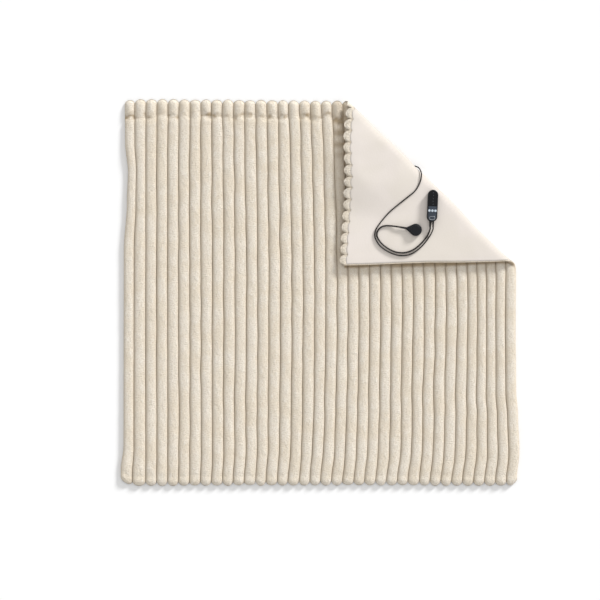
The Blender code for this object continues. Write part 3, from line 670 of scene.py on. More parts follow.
def choose(piece):
    bpy.ops.object.select_all(action="DESELECT")
    piece.select_set(True)
    bpy.context.view_layer.objects.active = piece


# Grid of the cloth's own meshes, in shares of a rib and in rows along it.
gridSet = {
    "plushShares": (0.0, 0.05, 0.13, 0.25, 0.41, 0.59, 0.75, 0.87, 0.95),
    "fleeceShares": (0.0, 0.25, 0.5, 0.75),
    "endStep": 0.0042,
    "endLength": 0.080,
    "lowStep": 0.0180,
    "foldStep": 0.0082,
    "foldFrom": 0.050,
}


def spread(start, end, step):
    count = max(1, round((end - start) / step))
    return [start + (end - start) * part / count for part in range(count)]


def clothRows(inset):
    low, high = -cloth["length"] / 2 + inset, cloth["length"] / 2 - inset
    end = gridSet["endLength"] - inset
    rows = spread(low, low + end, gridSet["endStep"])
    rows += spread(low + end, gridSet["foldFrom"], gridSet["lowStep"])
    rows += spread(gridSet["foldFrom"], high - end, gridSet["foldStep"])
    return rows + spread(high - end, high, gridSet["endStep"]) + [high]


def clothColumns(shares, inset):
    pitch = cloth["width"] / cloth["ribs"]
    wide = cloth["width"] / 2
    places = [(rib + share) * pitch - wide for rib in range(cloth["ribs"]) for share in shares] + [wide]
    return [max(inset - wide, min(wide - inset, place)) for place in places] if inset else places


def makeCloth(name, columns, rows, upper, lower, marks):
    verts, uvs, marked = [], [], []
    for height in (upper, lower):
        for along in rows:
            for across in columns:
                verts.append(lie(across, along, height(across, along)))
                uvs.append((across + cloth["width"] / 2, along + cloth["length"] / 2))
                marked.append(marks(across, along, height is lower))
    wide, deep = len(columns), len(rows)
    under = wide * deep
    faces = []
    for row in range(deep - 1):
        for column in range(wide - 1):
            corner = row * wide + column
            faces.append((corner, corner + 1, corner + wide + 1, corner + wide))
            corner += under
            faces.append((corner, corner + wide, corner + wide + 1, corner + 1))
    rim = list(range(wide))
    rim += [row * wide + wide - 1 for row in range(1, deep)]
    rim += [(deep - 1) * wide + column for column in range(wide - 2, -1, -1)]
    rim += [row * wide for row in range(deep - 2, 0, -1)]
    for first, second in zip(rim, rim[1:] + rim[:1]):
        faces.append((first, first + under, second + under, second))
    data = bpy.data.meshes.new(name)
    data.from_pydata(verts, [], faces)
    layer = data.uv_layers.new(name="clothMap")
    for loop in data.loops:
        layer.data[loop.index].uv = uvs[loop.vertex_index]
    # Per-vertex marks: painted shade, and the strength of the painted groove shade.
    for mark, values in zip(("paintedShade", "grooveShade"), zip(*marked)):
        data.attributes.new(mark, "FLOAT", "POINT").data.foreach_set("value", values)
    data.shade_smooth()
    return addObject(name, data)


faceBase = cloth["backThickness"] + cloth["layerGap"]


def endDistances(across, along):
    return cloth["length"] / 2 - along, cloth["length"] / 2 + along


def pinch(distance, seam, strength):
    return 1.0 - strength * bell(distance - seam, cloth["seamWidth"])


def hemShare(across, along):
    # 1 where the plush is turned over onto the back along the ends, 0 inside.
    fromEnd = min(endDistances(across, along))
    fromSide = cloth["width"] / 2 - abs(across)
    atEnd = smoothStep((fromEnd - cloth["hem"]) / cloth["hemFade"] + 1.0)
    atSide = smoothStep((fromSide - cloth["sideHem"]) / cloth["hemFade"] + 1.0)
    return 1.0 - min(atEnd, atSide)


def endRise(across, along):
    fromEnd = min(*endDistances(across, along), cloth["endRounding"]) / cloth["endRounding"]
    return math.sqrt(max(0.0, 1.0 - (1.0 - fromEnd) ** 2))


# Painted shadow on the pile beside the folded corner's two free edges.
cornerShade = {
    "rib": 18.6, "edge": 0.087, "edgeClimb": 0.022, "overlap": 0.02, "fade": 0.03,
    "side": 0.44, "below": 1.9, "reach": 0.015,
}

# Creases across one rib: the rib's number, where along it, how deep.
ribCreases = (
    (19, 0.548, 0.30), (19, 0.512, 0.36), (19, 0.474, 0.34),
    (19, 0.440, 0.20), (18, 0.300, 0.10), (20, 0.215, 0.12),
    (3, 0.330, 0.10), (29, -0.210, 0.12),
)

# How uneven the pile is, and how it turns over at the hems.
pileSet = {
    "slow": 0.0009,
    "quick": 0.0006,
    "swelling": 0.10,
    "rim": 0.0012,
    "openGroove": 0.0014,
    "bottomPinch": 0.16,
    "rollReach": 0.006,
    "rollHeight": 0.0035,
    "dimple": 0.0012,
}
# The knobs that the ribs end in along the top edge, pinched off by the seam below them.
knobSet = {
    "fade": 0.012,
    "crown": 0.9,
    "rise": 0.0016,
    "neckWidth": 0.010,
    "neckCrown": 0.8,
    "seamStray": 0.016,
    "left": 0.42,
    "decline": 0.34,
    "chance": 0.60,
    "least": 0.06,
    "most": 0.60,
    "wrinkle": 0.0040,
    "wrinkleLift": 0.006,
    "wrinkleWidth": 0.020,
    "wrinkleShare": 1.3,
    "wrinkleLeast": 0.25,
}
# Painted shade under each knob's seam pinch and in the creases, and the strength of the painted groove
# shade.
markSet = {
    "paintedShadeBrown": 2.4,
    "patchStart": 0.40,
    "patchShare": 1.2,
    "lift": 0.005,
    "width": 0.011,
    "crease": 1.2,
    "brownMost": 0.9,
    "line": 0.80,
    "lineShare": 0.9,
    "lineLeast": 0.2,
    "lineMost": 1.15,
    "hemLine": 0.2,
}


def pileNoise(across, along):
    slow, quick = uneven("slowPile", across, along), uneven("quickPile", across, along)
    return pileSet["slow"] * slow + pileSet["quick"] * quick


def creased(rib, along):
    kept = 1.0
    for number, place, depth in ribCreases:
        if number == rib:
            kept *= pinch(along - place, 0.0, depth)
    return kept


def knobSeam(across):
    # Where a rib is pinched below its end, and how hard: most at the left.
    rib = ribNumber(across)
    seam = cloth["topSeam"] + knobSet["seamStray"] * uneven("seam", rib, 1.0, across)
    strength = knobSet["left"] - knobSet["decline"] * (across / cloth["width"] + 0.5)
    strength += knobSet["chance"] * uneven("knob", rib)
    return seam, min(max(strength, knobSet["least"]), knobSet["most"])


def plushMarks(across, along, under):
    # How much painted shade darkens the pile below each knob's seam, in the creases and beside and below
    # the folded corner, and how strong the painted groove shade is.
    mark, shade = markSet, cornerShade
    if under:
        return 0.0, 1.0 - (1.0 - mark["hemLine"]) * hemShare(across, along)
    place, fromTop = ribPlace(across), endDistances(across, along)[0]
    seam, strength = knobSeam(across)
    patchy = mark["patchStart"] + mark["patchShare"] * uneven("patchy", across, fromTop)
    # Painted shade in the pinch below each knob's seam and in the creases.
    paintedShadeBrown = mark["paintedShadeBrown"] * strength * max(patchy, 0.0) * bell(fromTop - seam + mark["lift"], mark["width"])
    paintedShadeBrown += mark["crease"] * (1.0 - creased(ribNumber(across), along))
    # Painted shadow: the folded corner's left edge shades two ribs, and its lower edge all the ribs below
    # it.
    beside = smoothStep(place - shade["rib"]) * (place < shade["rib"] + 2)
    x, y = outlinePlace(across, along)
    fromEdge = y - shade["edge"] - shade["edgeClimb"] * x
    paintedShadeBrown += shade["side"] * beside * smoothStep((fromEdge + shade["overlap"]) / shade["fade"])
    below = 1.0 - smoothStep(-fromEdge / shade["reach"])
    paintedShadeBrown += shade["below"] * below * (place > shade["rib"] + 1) * (fromEdge < shade["overlap"])
    line = mark["line"] + mark["lineShare"] * uneven("groove", round(place), along)
    return min(paintedShadeBrown, mark["brownMost"]), min(max(line, mark["lineLeast"]), mark["lineMost"])


def plushTop(across, along):
    pile, end = pileSet, knobSet
    fromTop, fromBottom = endDistances(across, along)
    rib = ribNumber(across)
    full = cloth["ribThickness"] * (1.0 + pile["swelling"] * uneven("swelling", rib, along))
    crown, ends = ribCrown(across), endRise(across, along)
    # Towards the top edge each rib ends in a knob, and the grooves between them open up.
    knob = 1.0 - smoothStep((fromTop - cloth["topSeam"]) / end["fade"])
    seam, strength = knobSeam(across)
    neck = bell(fromTop - seam, end["neckWidth"]) * min(1.0, 2.0 * strength)
    crown **= 1.0 + end["crown"] * knob + end["neckCrown"] * neck
    rise = (full - cloth["grooveThickness"] + end["rise"] * knob) * crown * ends
    rise *= pinch(fromTop, seam, strength)
    rise *= pinch(fromBottom, cloth["bottomSeam"], pile["bottomPinch"]) * creased(rib, along)
    near = bell(fromTop - seam + end["wrinkleLift"], end["wrinkleWidth"])
    near *= max(end["wrinkleLeast"], end["wrinkleShare"] * strength)
    wrinkle = end["wrinkle"] * uneven("wrinkle", across, fromTop) * near
    groove = cloth["grooveThickness"] - pile["rim"] - pile["openGroove"] * knob
    base = faceBase + pile["rim"] + groove * ends
    return base + rise + (pileNoise(across, along) + wrinkle) * crown * ends


def plushUnder(across, along):
    hem = hemShare(across, along)
    fromEnd = min(endDistances(across, along))
    tip = max(0.0, 1.0 - fromEnd / pileSet["rollReach"])
    rounded = pileSet["rollHeight"] * tip * tip
    dimple = pileSet["dimple"] * (1.0 - ribCrown(across)) * hem
    return faceBase * (1.0 - hem) + (rounded + dimple) * hem + cloth["clearance"]


# The brushed back: how far it stays inside the hems, and how much painted shade darkens it round the bend.
fleeceSet = {
    "endInset": 0.0165, "sideInset": 0.0040, "clearance": 0.00005, "tuck": 0.0006, "tuckReach": 0.02,
    "uneven": 0.00025, "foldShadeShare": 0.95, "foldShadePower": 0.8,
}


def fleeceTop(across, along):
    return cloth["backThickness"]


def fleeceUnder(across, along):
    edge = min(*endDistances(across, along), cloth["width"] / 2 - abs(across)) - fleeceSet["sideInset"]
    tuck = fleeceSet["tuck"] * (1.0 - smoothStep(edge / fleeceSet["tuckReach"]))
    bumps = fleeceSet["uneven"] * (1.0 + uneven("fleece", across, along))
    return fleeceSet["clearance"] + tuck + bumps


def fleeceMarks(across, along, under):
    # Painted shade round the bend: it darkens the outer curve of the fold, where the sun lights it most.
    outward = turnToFold(*outlinePlace(across, along))[0]
    angle = (outward - fold["edge"] + fold["radius"]) / fold["radius"]
    foldShade = math.sin(min(max(angle, 0.0), math.pi))
    return fleeceSet["foldShadeShare"] * foldShade ** fleeceSet["foldShadePower"], 0.0


plushFace = makeCloth(
    "plushFace", clothColumns(gridSet["plushShares"], 0.0), clothRows(0.0),
    plushTop, plushUnder, plushMarks,
)
giveLook(plushFace, "plush")
brushedBack = makeCloth(
    "brushedBack", clothColumns(gridSet["fleeceShares"], fleeceSet["sideInset"]),
    clothRows(fleeceSet["endInset"]), fleeceTop, fleeceUnder, fleeceMarks,
)
giveLook(brushedBack, "fleece")
for piece in (plushFace, brushedBack):
    print("cloth:", piece.name, len(piece.data.polygons), "faces")

# The stitched lines that hold the turned hems.
stitchSet = {
    "length": 0.0046, "pitch": 0.0060, "width": 0.00045, "height": 0.00035, "inset": 0.0012,
    "endStart": 0.012, "sideStart": 0.024,
}


def seamPlaces():
    places = []
    across = cloth["width"] / 2 - stitchSet["endStart"]
    along = cloth["length"] / 2 - cloth["hem"] - stitchSet["inset"]
    for side in (-1, 1):
        for step in range(int(2 * across / stitchSet["pitch"])):
            start = step * stitchSet["pitch"] - across
            places.append(((start, side * along), (start + stitchSet["length"], side * along)))
    across = cloth["width"] / 2 - cloth["sideHem"] - stitchSet["inset"]
    along = cloth["length"] / 2 - stitchSet["sideStart"]
    for side in (-1, 1):
        for step in range(int(2 * along / stitchSet["pitch"])):
            start = step * stitchSet["pitch"] - along
            places.append(((side * across, start), (side * across, start + stitchSet["length"])))
    return places


def makeStitches():
    verts, faces = [], []
    for start, end in seamPlaces():
        low, high = lie(*start, 0.0), lie(*end, 0.0)
        middle = (low + high) / 2
        outward = (lie(*start, -0.001) - low).normalized()
        sideways = (high - low).cross(outward).normalized() * stitchSet["width"]
        out = outward * stitchSet["height"]
        first = len(verts)
        verts += [low, high, middle + sideways, middle + out, middle - sideways, middle - out]
        for one, two in ((2, 3), (3, 4), (4, 5), (5, 2)):
            faces.append((first, first + one, first + two))
            faces.append((first + 1, first + two, first + one))
    data = bpy.data.meshes.new("hemStitches")
    data.from_pydata(verts, [], faces)
    data.shade_smooth()
    piece = addObject("hemStitches", data)
    choose(piece)
    bpy.ops.object.mode_set(mode="EDIT")
    bpy.ops.mesh.select_all(action="SELECT")
    bpy.ops.mesh.normals_make_consistent(inside=False)
    bpy.ops.object.mode_set(mode="OBJECT")
    giveLook(piece, "thread")
    return piece


hemStitches = makeStitches()
print("stitches sewn:", len(hemStitches.data.polygons), "faces")


# Hard pieces: each is modelled in its own frame, then set down where it lies.
def startPiece(name, addPrimitive, **settings):
    bpy.ops.object.select_all(action="DESELECT")
    addPrimitive(**settings)
    bpy.ops.object.transform_apply(location=True, rotation=True, scale=True)
    piece = bpy.context.active_object
    piece.name = piece.data.name = name
    bpy.ops.object.mode_set(mode="EDIT")
    return piece


def pick(kind, test):
    bpy.ops.mesh.select_mode(type=kind)
    bpy.ops.mesh.select_all(action="DESELECT")
    data = bpy.context.edit_object.data
    mesh = bmesh.from_edit_mesh(data)
    for item in {"VERT": mesh.verts, "EDGE": mesh.edges, "FACE": mesh.faces}[kind]:
        if test(item):
            item.select_set(True)
    mesh.select_flush_mode()
    bmesh.update_edit_mesh(data)


selectSet = {"near": 1e-6, "facing": 0.99, "sharp": math.radians(60)}


def atHeight(height):
    return lambda edge: all(abs(vert.co.z - height) < selectSet["near"] for vert in edge.verts)


def facing(x, y, z):
    return lambda face: face.normal.dot(Vector((x, y, z))) > selectSet["facing"]


def everyVert(vert):
    return True


def roundRim(height, width, segments):
    pick("EDGE", atHeight(height))
    bpy.ops.mesh.bevel(offset=width, segments=segments, affect="EDGES")


def moveVerts(test, x, y, z):
    pick("VERT", test)
    bpy.ops.transform.translate(value=(x, y, z))


def drawOut(x, y, z, share=1.0):
    bpy.ops.mesh.extrude_region_move(TRANSFORM_OT_translate={"value": (x, y, z)})
    if share != 1.0:
        bpy.ops.transform.resize(value=(share, share, share))


def endEdit():
    if bpy.context.mode != "OBJECT":
        bpy.ops.object.mode_set(mode="OBJECT")


def cutWith(piece, cutter):
    endEdit()
    choose(piece)
    boolean = piece.modifiers.new("cut", "BOOLEAN")
    boolean.operation = "DIFFERENCE"
    boolean.object = cutter
    bpy.ops.object.modifier_apply(modifier="cut")
    bpy.data.objects.remove(cutter)


def setDown(piece, seat, look, angle=35.0):
    endEdit()
    choose(piece)
    piece.matrix_world = seat
    bpy.ops.object.transform_apply(location=True, rotation=True, scale=True)
    bpy.ops.object.shade_smooth_by_angle(angle=math.radians(angle))
    giveLook(piece, look)
    return piece


def copyPiece(piece, name, x, y, z):
    endEdit()
    twin = piece.copy()
    twin.data = piece.data.copy()
    twin.name = twin.data.name = name
    bpy.context.scene.collection.objects.link(twin)
    choose(twin)
    twin.location = (x, y, z)
    bpy.ops.object.transform_apply(location=True, rotation=True, scale=True)
    return twin


def startRound(name, radius, low, high, sides=48, x=0.0, y=0.0):
    return startPiece(
        name, bpy.ops.mesh.primitive_cylinder_add, vertices=sides, radius=radius, depth=high - low,
        location=(x, y, (low + high) / 2), rotation=(0.0, 0.0, math.pi / sides), end_fill_type="NGON",
    )


def startBox(name, size, place=(0.0, 0.0, 0.0)):
    return startPiece(name, bpy.ops.mesh.primitive_cube_add, size=1.0, location=place, scale=size)


def stretchEnds(reach):
    for side in (1, -1):
        moveVerts(lambda vert: side * vert.co.y > selectSet["near"], 0.0, side * reach, 0.0)


# The hand control: housing, window and its lamps, key panel, oval trim and keys.
handSet = {
    "split": 0.008, "gap": 0.0003, "rimRounding": 0.0035, "splitRounding": 0.0004, "cutTop": 0.030,
    "windowRadius": 0.0145, "windowStart": -0.0005, "windowDepth": 0.0016, "windowProud": 0.0004,
    "windowRounding": 0.0007,
    "lampX": 0.0010, "lampFirst": 0.0045, "lampPitch": 0.0092, "lamps": 5, "lampRadius": 0.0008,
    "lampFlatness": 0.35,
    "panelProud": 0.00025, "panelInset": 0.0003, "panelStart": 0.0016, "panelThickness": 0.0004,
    "panelRounding": 0.0002,
    "trimPlace": -0.0390, "trimRadius": 0.0050, "trimStretch": 0.0038, "trimThickness": 0.00055,
    "trimFlatness": 0.6, "trimProud": 0.0001,
    "keyRow": -0.0157, "keyPitch": 0.0096, "keyRadius": 0.0038, "keyBase": 0.0121, "keyTop": 0.0168,
    "keyRounding": 0.0007, "keyBaseRounding": 0.0004, "wellFloor": 0.0110, "wellGap": 0.00035,
}
# The dish in each key: how far in each ring goes, and how far down.
keyDish = ((0.0006, -0.00012), (0.0007, -0.00014), (0.0008, -0.00008))
straight = controlSet["halfLength"] - controlSet["radius"]


def startDome(name, radius, start, low, high, side):
    # A flat outline with one round end, from y = start to the housing's end.
    piece = startRound(name, radius, low, high, y=side * straight)
    bpy.ops.mesh.select_all(action="SELECT")
    bpy.ops.mesh.bisect(
        plane_co=(0.0, side * straight, 0.0), plane_no=(0.0, -side, 0.0), use_fill=True, clear_outer=True,
    )
    pick("FACE", facing(0.0, -side, 0.0))
    drawOut(0.0, start - side * straight, 0.0)
    return piece


def cutWells(piece):
    hand = handSet
    radius = hand["keyRadius"] + hand["wellGap"]
    for side in (-1, 0, 1):
        x = side * hand["keyPitch"]
        cutWith(piece, startRound("well", radius, hand["wellFloor"], hand["cutTop"], 24, x, hand["keyRow"]))


def cutSockets(piece):
    for side, radius in ((-1, cordSet["controlRadius"]), (1, cordSet["mainsRadius"])):
        depth = controlSet["socket"] + handSet["gap"]
        socket = startPiece(
            "socket", bpy.ops.mesh.primitive_cylinder_add, vertices=24, depth=2.0 * depth,
            radius=radius + reliefSet["wall"] + handSet["gap"], rotation=(math.pi / 2, 0.0, 0.0),
            location=(side * controlSet["exitOffset"], -controlSet["halfLength"], controlSet["exitHeight"]),
        )
        cutWith(piece, socket)


def makeHousing():
    hand = handSet
    low = startRound("controlBase", controlSet["radius"], 0.0, hand["split"])
    stretchEnds(straight)
    roundRim(0.0, hand["rimRounding"], 5)
    roundRim(hand["split"], hand["splitRounding"], 2)
    endEdit()
    cutSockets(low)
    bottom = hand["split"] + hand["gap"]
    top = startRound("controlCover", controlSet["radius"], bottom, controlSet["thickness"])
    stretchEnds(straight)
    roundRim(controlSet["thickness"], hand["rimRounding"], 6)
    roundRim(bottom, hand["splitRounding"], 2)
    endEdit()
    floor = controlSet["thickness"] - hand["windowDepth"]
    cutWith(top, startDome("recess", hand["windowRadius"], hand["windowStart"], floor, hand["cutTop"], 1))
    cutWells(top)
    cutSockets(top)
    return setDown(low, controlSeat, "shell"), setDown(top, controlSeat, "shell")


def makeWindow():
    hand = handSet
    floor = controlSet["thickness"] - hand["windowDepth"] + hand["gap"]
    high = controlSet["thickness"] + hand["windowProud"]
    radius = hand["windowRadius"] - hand["gap"]
    lens = startDome("windowLens", radius, hand["windowStart"] + hand["gap"], floor, high, 1)
    roundRim(high, hand["windowRounding"], 4)
    lens = setDown(lens, controlSeat, "window")
    lamps = startPiece(
        "levelLamps", bpy.ops.mesh.primitive_uv_sphere_add, segments=16, ring_count=8,
        radius=hand["lampRadius"], location=(hand["lampX"], hand["lampFirst"], 0.0),
    )
    pick("VERT", everyVert)
    bpy.ops.transform.resize(value=(1.0, 1.0, hand["lampFlatness"]))
    bpy.ops.transform.translate(value=(0.0, 0.0, high))
    for lamp in range(hand["lamps"] - 1):
        bpy.ops.mesh.duplicate_move(TRANSFORM_OT_translate={"value": (0.0, hand["lampPitch"], 0.0)})
    return lens, setDown(lamps, controlSeat, "lamp")


def makePanel():
    hand = handSet
    high = controlSet["thickness"] + hand["panelProud"]
    radius = controlSet["radius"] - hand["rimRounding"] - hand["panelInset"]
    start = hand["windowStart"] - hand["panelStart"]
    panel = startDome("keyPanel", radius, start, high - hand["panelThickness"], high, -1)
    roundRim(high, hand["panelRounding"], 2)
    endEdit()
    cutWells(panel)
    panel = setDown(panel, controlSeat, "panel")
    trim = startPiece(
        "ovalTrim", bpy.ops.mesh.primitive_torus_add, major_radius=hand["trimRadius"],
        minor_radius=hand["trimThickness"], major_segments=48, minor_segments=12,
        rotation=(0.0, 0.0, math.pi / 48),
    )
    for side in (1, -1):
        moveVerts(lambda vert: side * vert.co.x > selectSet["near"], side * hand["trimStretch"], 0.0, 0.0)
    pick("VERT", everyVert)
    bpy.ops.transform.resize(value=(1.0, 1.0, hand["trimFlatness"]))
    bpy.ops.transform.translate(value=(0.0, hand["trimPlace"], high + hand["trimProud"]))
    return panel, setDown(trim, controlSeat, "trim")


def makeKeys():
    hand = handSet
    base, top = hand["keyBase"], hand["keyTop"]
    first = startRound("keyMiddle", hand["keyRadius"], base, top, 32, 0.0, hand["keyRow"])
    roundRim(top, hand["keyRounding"], 4)
    pick("FACE", facing(0.0, 0.0, 1.0))
    for inset, sink in keyDish:
        bpy.ops.mesh.inset(thickness=inset, depth=sink)
    roundRim(base, hand["keyBaseRounding"], 2)
    keys = {"left_key": copyPiece(first, "keyLeft", -hand["keyPitch"], 0.0, 0.0), "middle_key": first}
    keys["right_key"] = copyPiece(first, "keyRight", hand["keyPitch"], 0.0, 0.0)
    return {body: setDown(key, controlSeat, "button") for body, key in keys.items()}


reliefSet = {
    "wall": 0.0014, "tip": 0.0005, "rings": 5, "ringDepth": 0.00045, "lip": 0.0006, "clearance": 0.0001,
    "rounding": 0.0003,
}


def makeRelief(name, cordRadius, length, seat):
    # Narrowing along +Z, with a sunk ring between each two ridges.
    wide, narrow = cordRadius + reliefSet["wall"], cordRadius + reliefSet["tip"]
    # Four levels to a ring: two on the ridge and two in the groove.
    levels = 4 * reliefSet["rings"]
    step = length / levels
    relief = startRound(name, wide, 0.0, 2 * step, 24)
    pick("FACE", facing(0.0, 0.0, 1.0))
    radius = wide
    for level in range(3, levels + 1):
        wanted = wide + (narrow - wide) * level / levels
        if level % 4 in (1, 2) and level < levels - 2:
            wanted -= reliefSet["ringDepth"]
        drawOut(0.0, 0.0, step, wanted / radius)
        radius = wanted
    bpy.ops.mesh.inset(thickness=radius - cordRadius - reliefSet["clearance"], depth=0.0)
    drawOut(0.0, 0.0, -reliefSet["lip"])
    roundRim(0.0, reliefSet["rounding"], 2)
    return setDown(relief, seat, "rubber", 50.0)


def towards(x, y, z, direction):
    return Matrix.Translation((x, y, z)) @ Vector(direction).to_track_quat("Z", "Y").to_matrix().to_4x4()


def makeReliefs():
    start = controlSet["socket"] - controlSet["halfLength"]
    reliefs = []
    for name, side in (("controlCordRelief", -1), ("mainsCordRelief", 1)):
        radius = cordSet["controlRadius"] if side < 0 else cordSet["mainsRadius"]
        out = towards(side * controlSet["exitOffset"], start, controlSet["exitHeight"], (0.0, -1.0, 0.0))
        reliefs.append(makeRelief(name, radius, controlSet["relief"], controlSeat @ out))
    return reliefs


# The disc connector: its shell, the rings on its lid and the ribs to grip on its neck.
discSet = {
    "neckHeight": 0.80, "rounding": 0.0025, "edgeAngle": 40.0,
    "lidRadius": 0.0150, "lidThickness": 0.0025, "lidRounding": 0.0010,
    "lands": (0.0022, 0.0030, 0.0030), "ringWidth": 0.0004, "ringDepth": 0.0005,
    "grips": 3, "gripStart": 0.0190, "gripPitch": 0.0030, "gripWidth": 0.0011, "gripHeight": 0.0008,
    "gripLength": 0.0105, "gripRounding": 0.0003, "gripLevel": 0.93, "gripFall": 0.04, "gripShrink": 0.80,
}


def makeConnector():
    disc, link = discSet, connectorSet
    radius, reach, half, thick = link["radius"], link["neck"], link["neckHalf"], link["thickness"]
    tangent = math.acos(radius / math.hypot(reach, half)) + math.atan2(half, reach)
    shell = startRound("connectorShell", radius, 0.0, thick, 64)
    bpy.ops.mesh.select_all(action="SELECT")
    cutAt = radius * math.cos(tangent)
    bpy.ops.mesh.bisect(
        plane_co=(cutAt, 0.0, 0.0), plane_no=(1.0, 0.0, 0.0), use_fill=True, clear_outer=True,
    )
    pick("FACE", facing(1.0, 0.0, 0.0))
    drawOut(reach - cutAt, 0.0, 0.0)
    bpy.ops.transform.resize(value=(1.0, half / (radius * math.sin(tangent)), disc["neckHeight"]))
    # All the sharp edges but the upright ones.
    pick("EDGE", lambda edge: abs(edge.verts[0].co.z - edge.verts[1].co.z) < 0.3 * edge.calc_length()
         and edge.calc_face_angle(0.0) > math.radians(disc["edgeAngle"]))
    bpy.ops.mesh.bevel(offset=disc["rounding"], segments=5, affect="EDGES", clamp_overlap=True)
    shell = setDown(shell, connectorSeat, "shell")
    lidBottom = thick + handSet["gap"]
    lidTop = lidBottom + disc["lidThickness"]
    lid = startRound("connectorLid", disc["lidRadius"], lidBottom, lidTop, 64)
    roundRim(lidTop, disc["lidRounding"], 4)
    pick("FACE", facing(0.0, 0.0, 1.0))
    for land in disc["lands"]:
        bpy.ops.mesh.inset(thickness=land)
        for depth in (-disc["ringDepth"], 0.0, disc["ringDepth"]):
            bpy.ops.mesh.inset(thickness=disc["ringWidth"], depth=depth)
    lid = setDown(lid, connectorSeat, "shell")
    grips = startBox("connectorGrips", (disc["gripWidth"], disc["gripLength"], disc["gripHeight"]))
    pick("VERT", everyVert)
    bpy.ops.mesh.bevel(offset=disc["gripRounding"], segments=2, affect="EDGES")
    bpy.ops.transform.translate(value=(disc["gripStart"], 0.0, disc["gripLevel"] * thick))
    move = (disc["gripPitch"], 0.0, -disc["gripFall"] * thick)
    for grip in range(disc["grips"] - 1):
        bpy.ops.mesh.duplicate_move(TRANSFORM_OT_translate={"value": move})
        bpy.ops.transform.resize(value=(1.0, disc["gripShrink"], 1.0))
    grips = setDown(grips, connectorSeat, "rubber")
    start = towards(reach - cordSet["sunk"], 0.0, thick / 2, (1.0, 0.0, 0.0))
    relief = makeRelief("connectorRelief", cordSet["controlRadius"], link["relief"], connectorSeat @ start)
    return shell, lid, grips, relief


# The plug's own shaping, and that of its blades.
shapeSet = {
    "rounding": 0.0030, "waist": 0.78, "gripFrom": -0.007, "gripTo": 0.003, "gripInset": 0.0018,
    "gripWall": 0.0005, "gripDepth": 0.0006, "gripHalf": 0.007, "bladeRounding": 0.0002, "bladeTip": 0.0014,
    "holeRadius": 0.0015, "holePlace": 0.0115,
}


def makePlug():
    plug, shape = plugSet, shapeSet
    seat = Matrix.Translation((*plug["place"], 0.0))
    middle, near = plug["thickness"] / 2, selectSet["near"]
    size = (plug["width"], plug["length"], plug["thickness"])
    body = startBox("plugBody", size, (0.0, 0.0, middle))
    for y in (shape["gripFrom"], shape["gripTo"]):
        bpy.ops.mesh.select_all(action="SELECT")
        bpy.ops.mesh.bisect(plane_co=(0.0, y, 0.0), plane_no=(0.0, 1.0, 0.0))
    # Waisted towards the cord, with an inset grip on the two broad sides.
    pick("VERT", lambda vert: vert.co.y < 0.0)
    bpy.ops.transform.resize(value=(shape["waist"], 1.0, 1.0))
    pick("FACE", lambda face: abs(face.normal.z) > selectSet["facing"]
         and shape["gripFrom"] < face.calc_center_median().y < shape["gripTo"])
    bpy.ops.mesh.inset(thickness=shape["gripInset"], use_individual=True)
    bpy.ops.mesh.inset(thickness=shape["gripWall"], depth=-shape["gripDepth"], use_individual=True)
    # The body's outer edges only, not those of the grips.
    pick("EDGE", lambda edge: edge.calc_face_angle(0.0) > selectSet["sharp"] and any(
        abs(vert.co.z - middle) > middle - near or abs(vert.co.y) > plug["length"] / 2 - near
        for vert in edge.verts) and max(abs(vert.co.x) for vert in edge.verts) > shape["gripHalf"])
    bpy.ops.mesh.bevel(offset=shape["rounding"], segments=5, affect="EDGES", clamp_overlap=True)
    body = setDown(body, seat, "sleeve", 40.0)
    front = plug["length"] / 2 + handSet["gap"]
    x, size = -plug["bladePitch"] / 2, (plug["bladeThickness"], plug["bladeLength"], plug["bladeWidth"])
    left = startBox("bladeLeft", size, (x, front + plug["bladeLength"] / 2, middle))
    tip = front + plug["bladeLength"]
    pick("EDGE", lambda edge: all(abs(vert.co.y - tip) < near for vert in edge.verts)
         and abs(edge.verts[0].co.z - edge.verts[1].co.z) < near)
    bpy.ops.mesh.bevel(offset=shape["bladeTip"], segments=4, affect="EDGES")
    pick("EDGE", lambda edge: edge.calc_face_angle(0.0) > selectSet["sharp"])
    bpy.ops.mesh.bevel(offset=shape["bladeRounding"], segments=2, affect="EDGES")
    endEdit()
    hole = startPiece(
        "hole", bpy.ops.mesh.primitive_cylinder_add, vertices=24, radius=shape["holeRadius"],
        depth=plug["width"], rotation=(0.0, math.pi / 2, 0.0),
        location=(x, front + shape["holePlace"], middle),
    )
    cutWith(left, hole)
    right = copyPiece(left, "bladeRight", plug["bladePitch"], 0.0, 0.0)
    blades = setDown(left, seat, "blade"), setDown(right, seat, "blade")
    start = seat @ towards(0.0, cordSet["sunk"] - plug["length"] / 2, middle, (0.0, -1.0, 0.0))
    relief = makeRelief("plugRelief", cordSet["mainsRadius"], plug["relief"], start)
    return body, *blades, relief


tieSet = {
    "turn": 35.0, "inner": 0.0149, "outer": 0.0328, "low": 0.0012, "high": 0.0104, "width": 0.006,
    "thickness": 0.0009, "rounding": 0.0022, "lapPlace": 0.0115, "lapLength": 0.0105, "lapRounding": 0.0020,
}


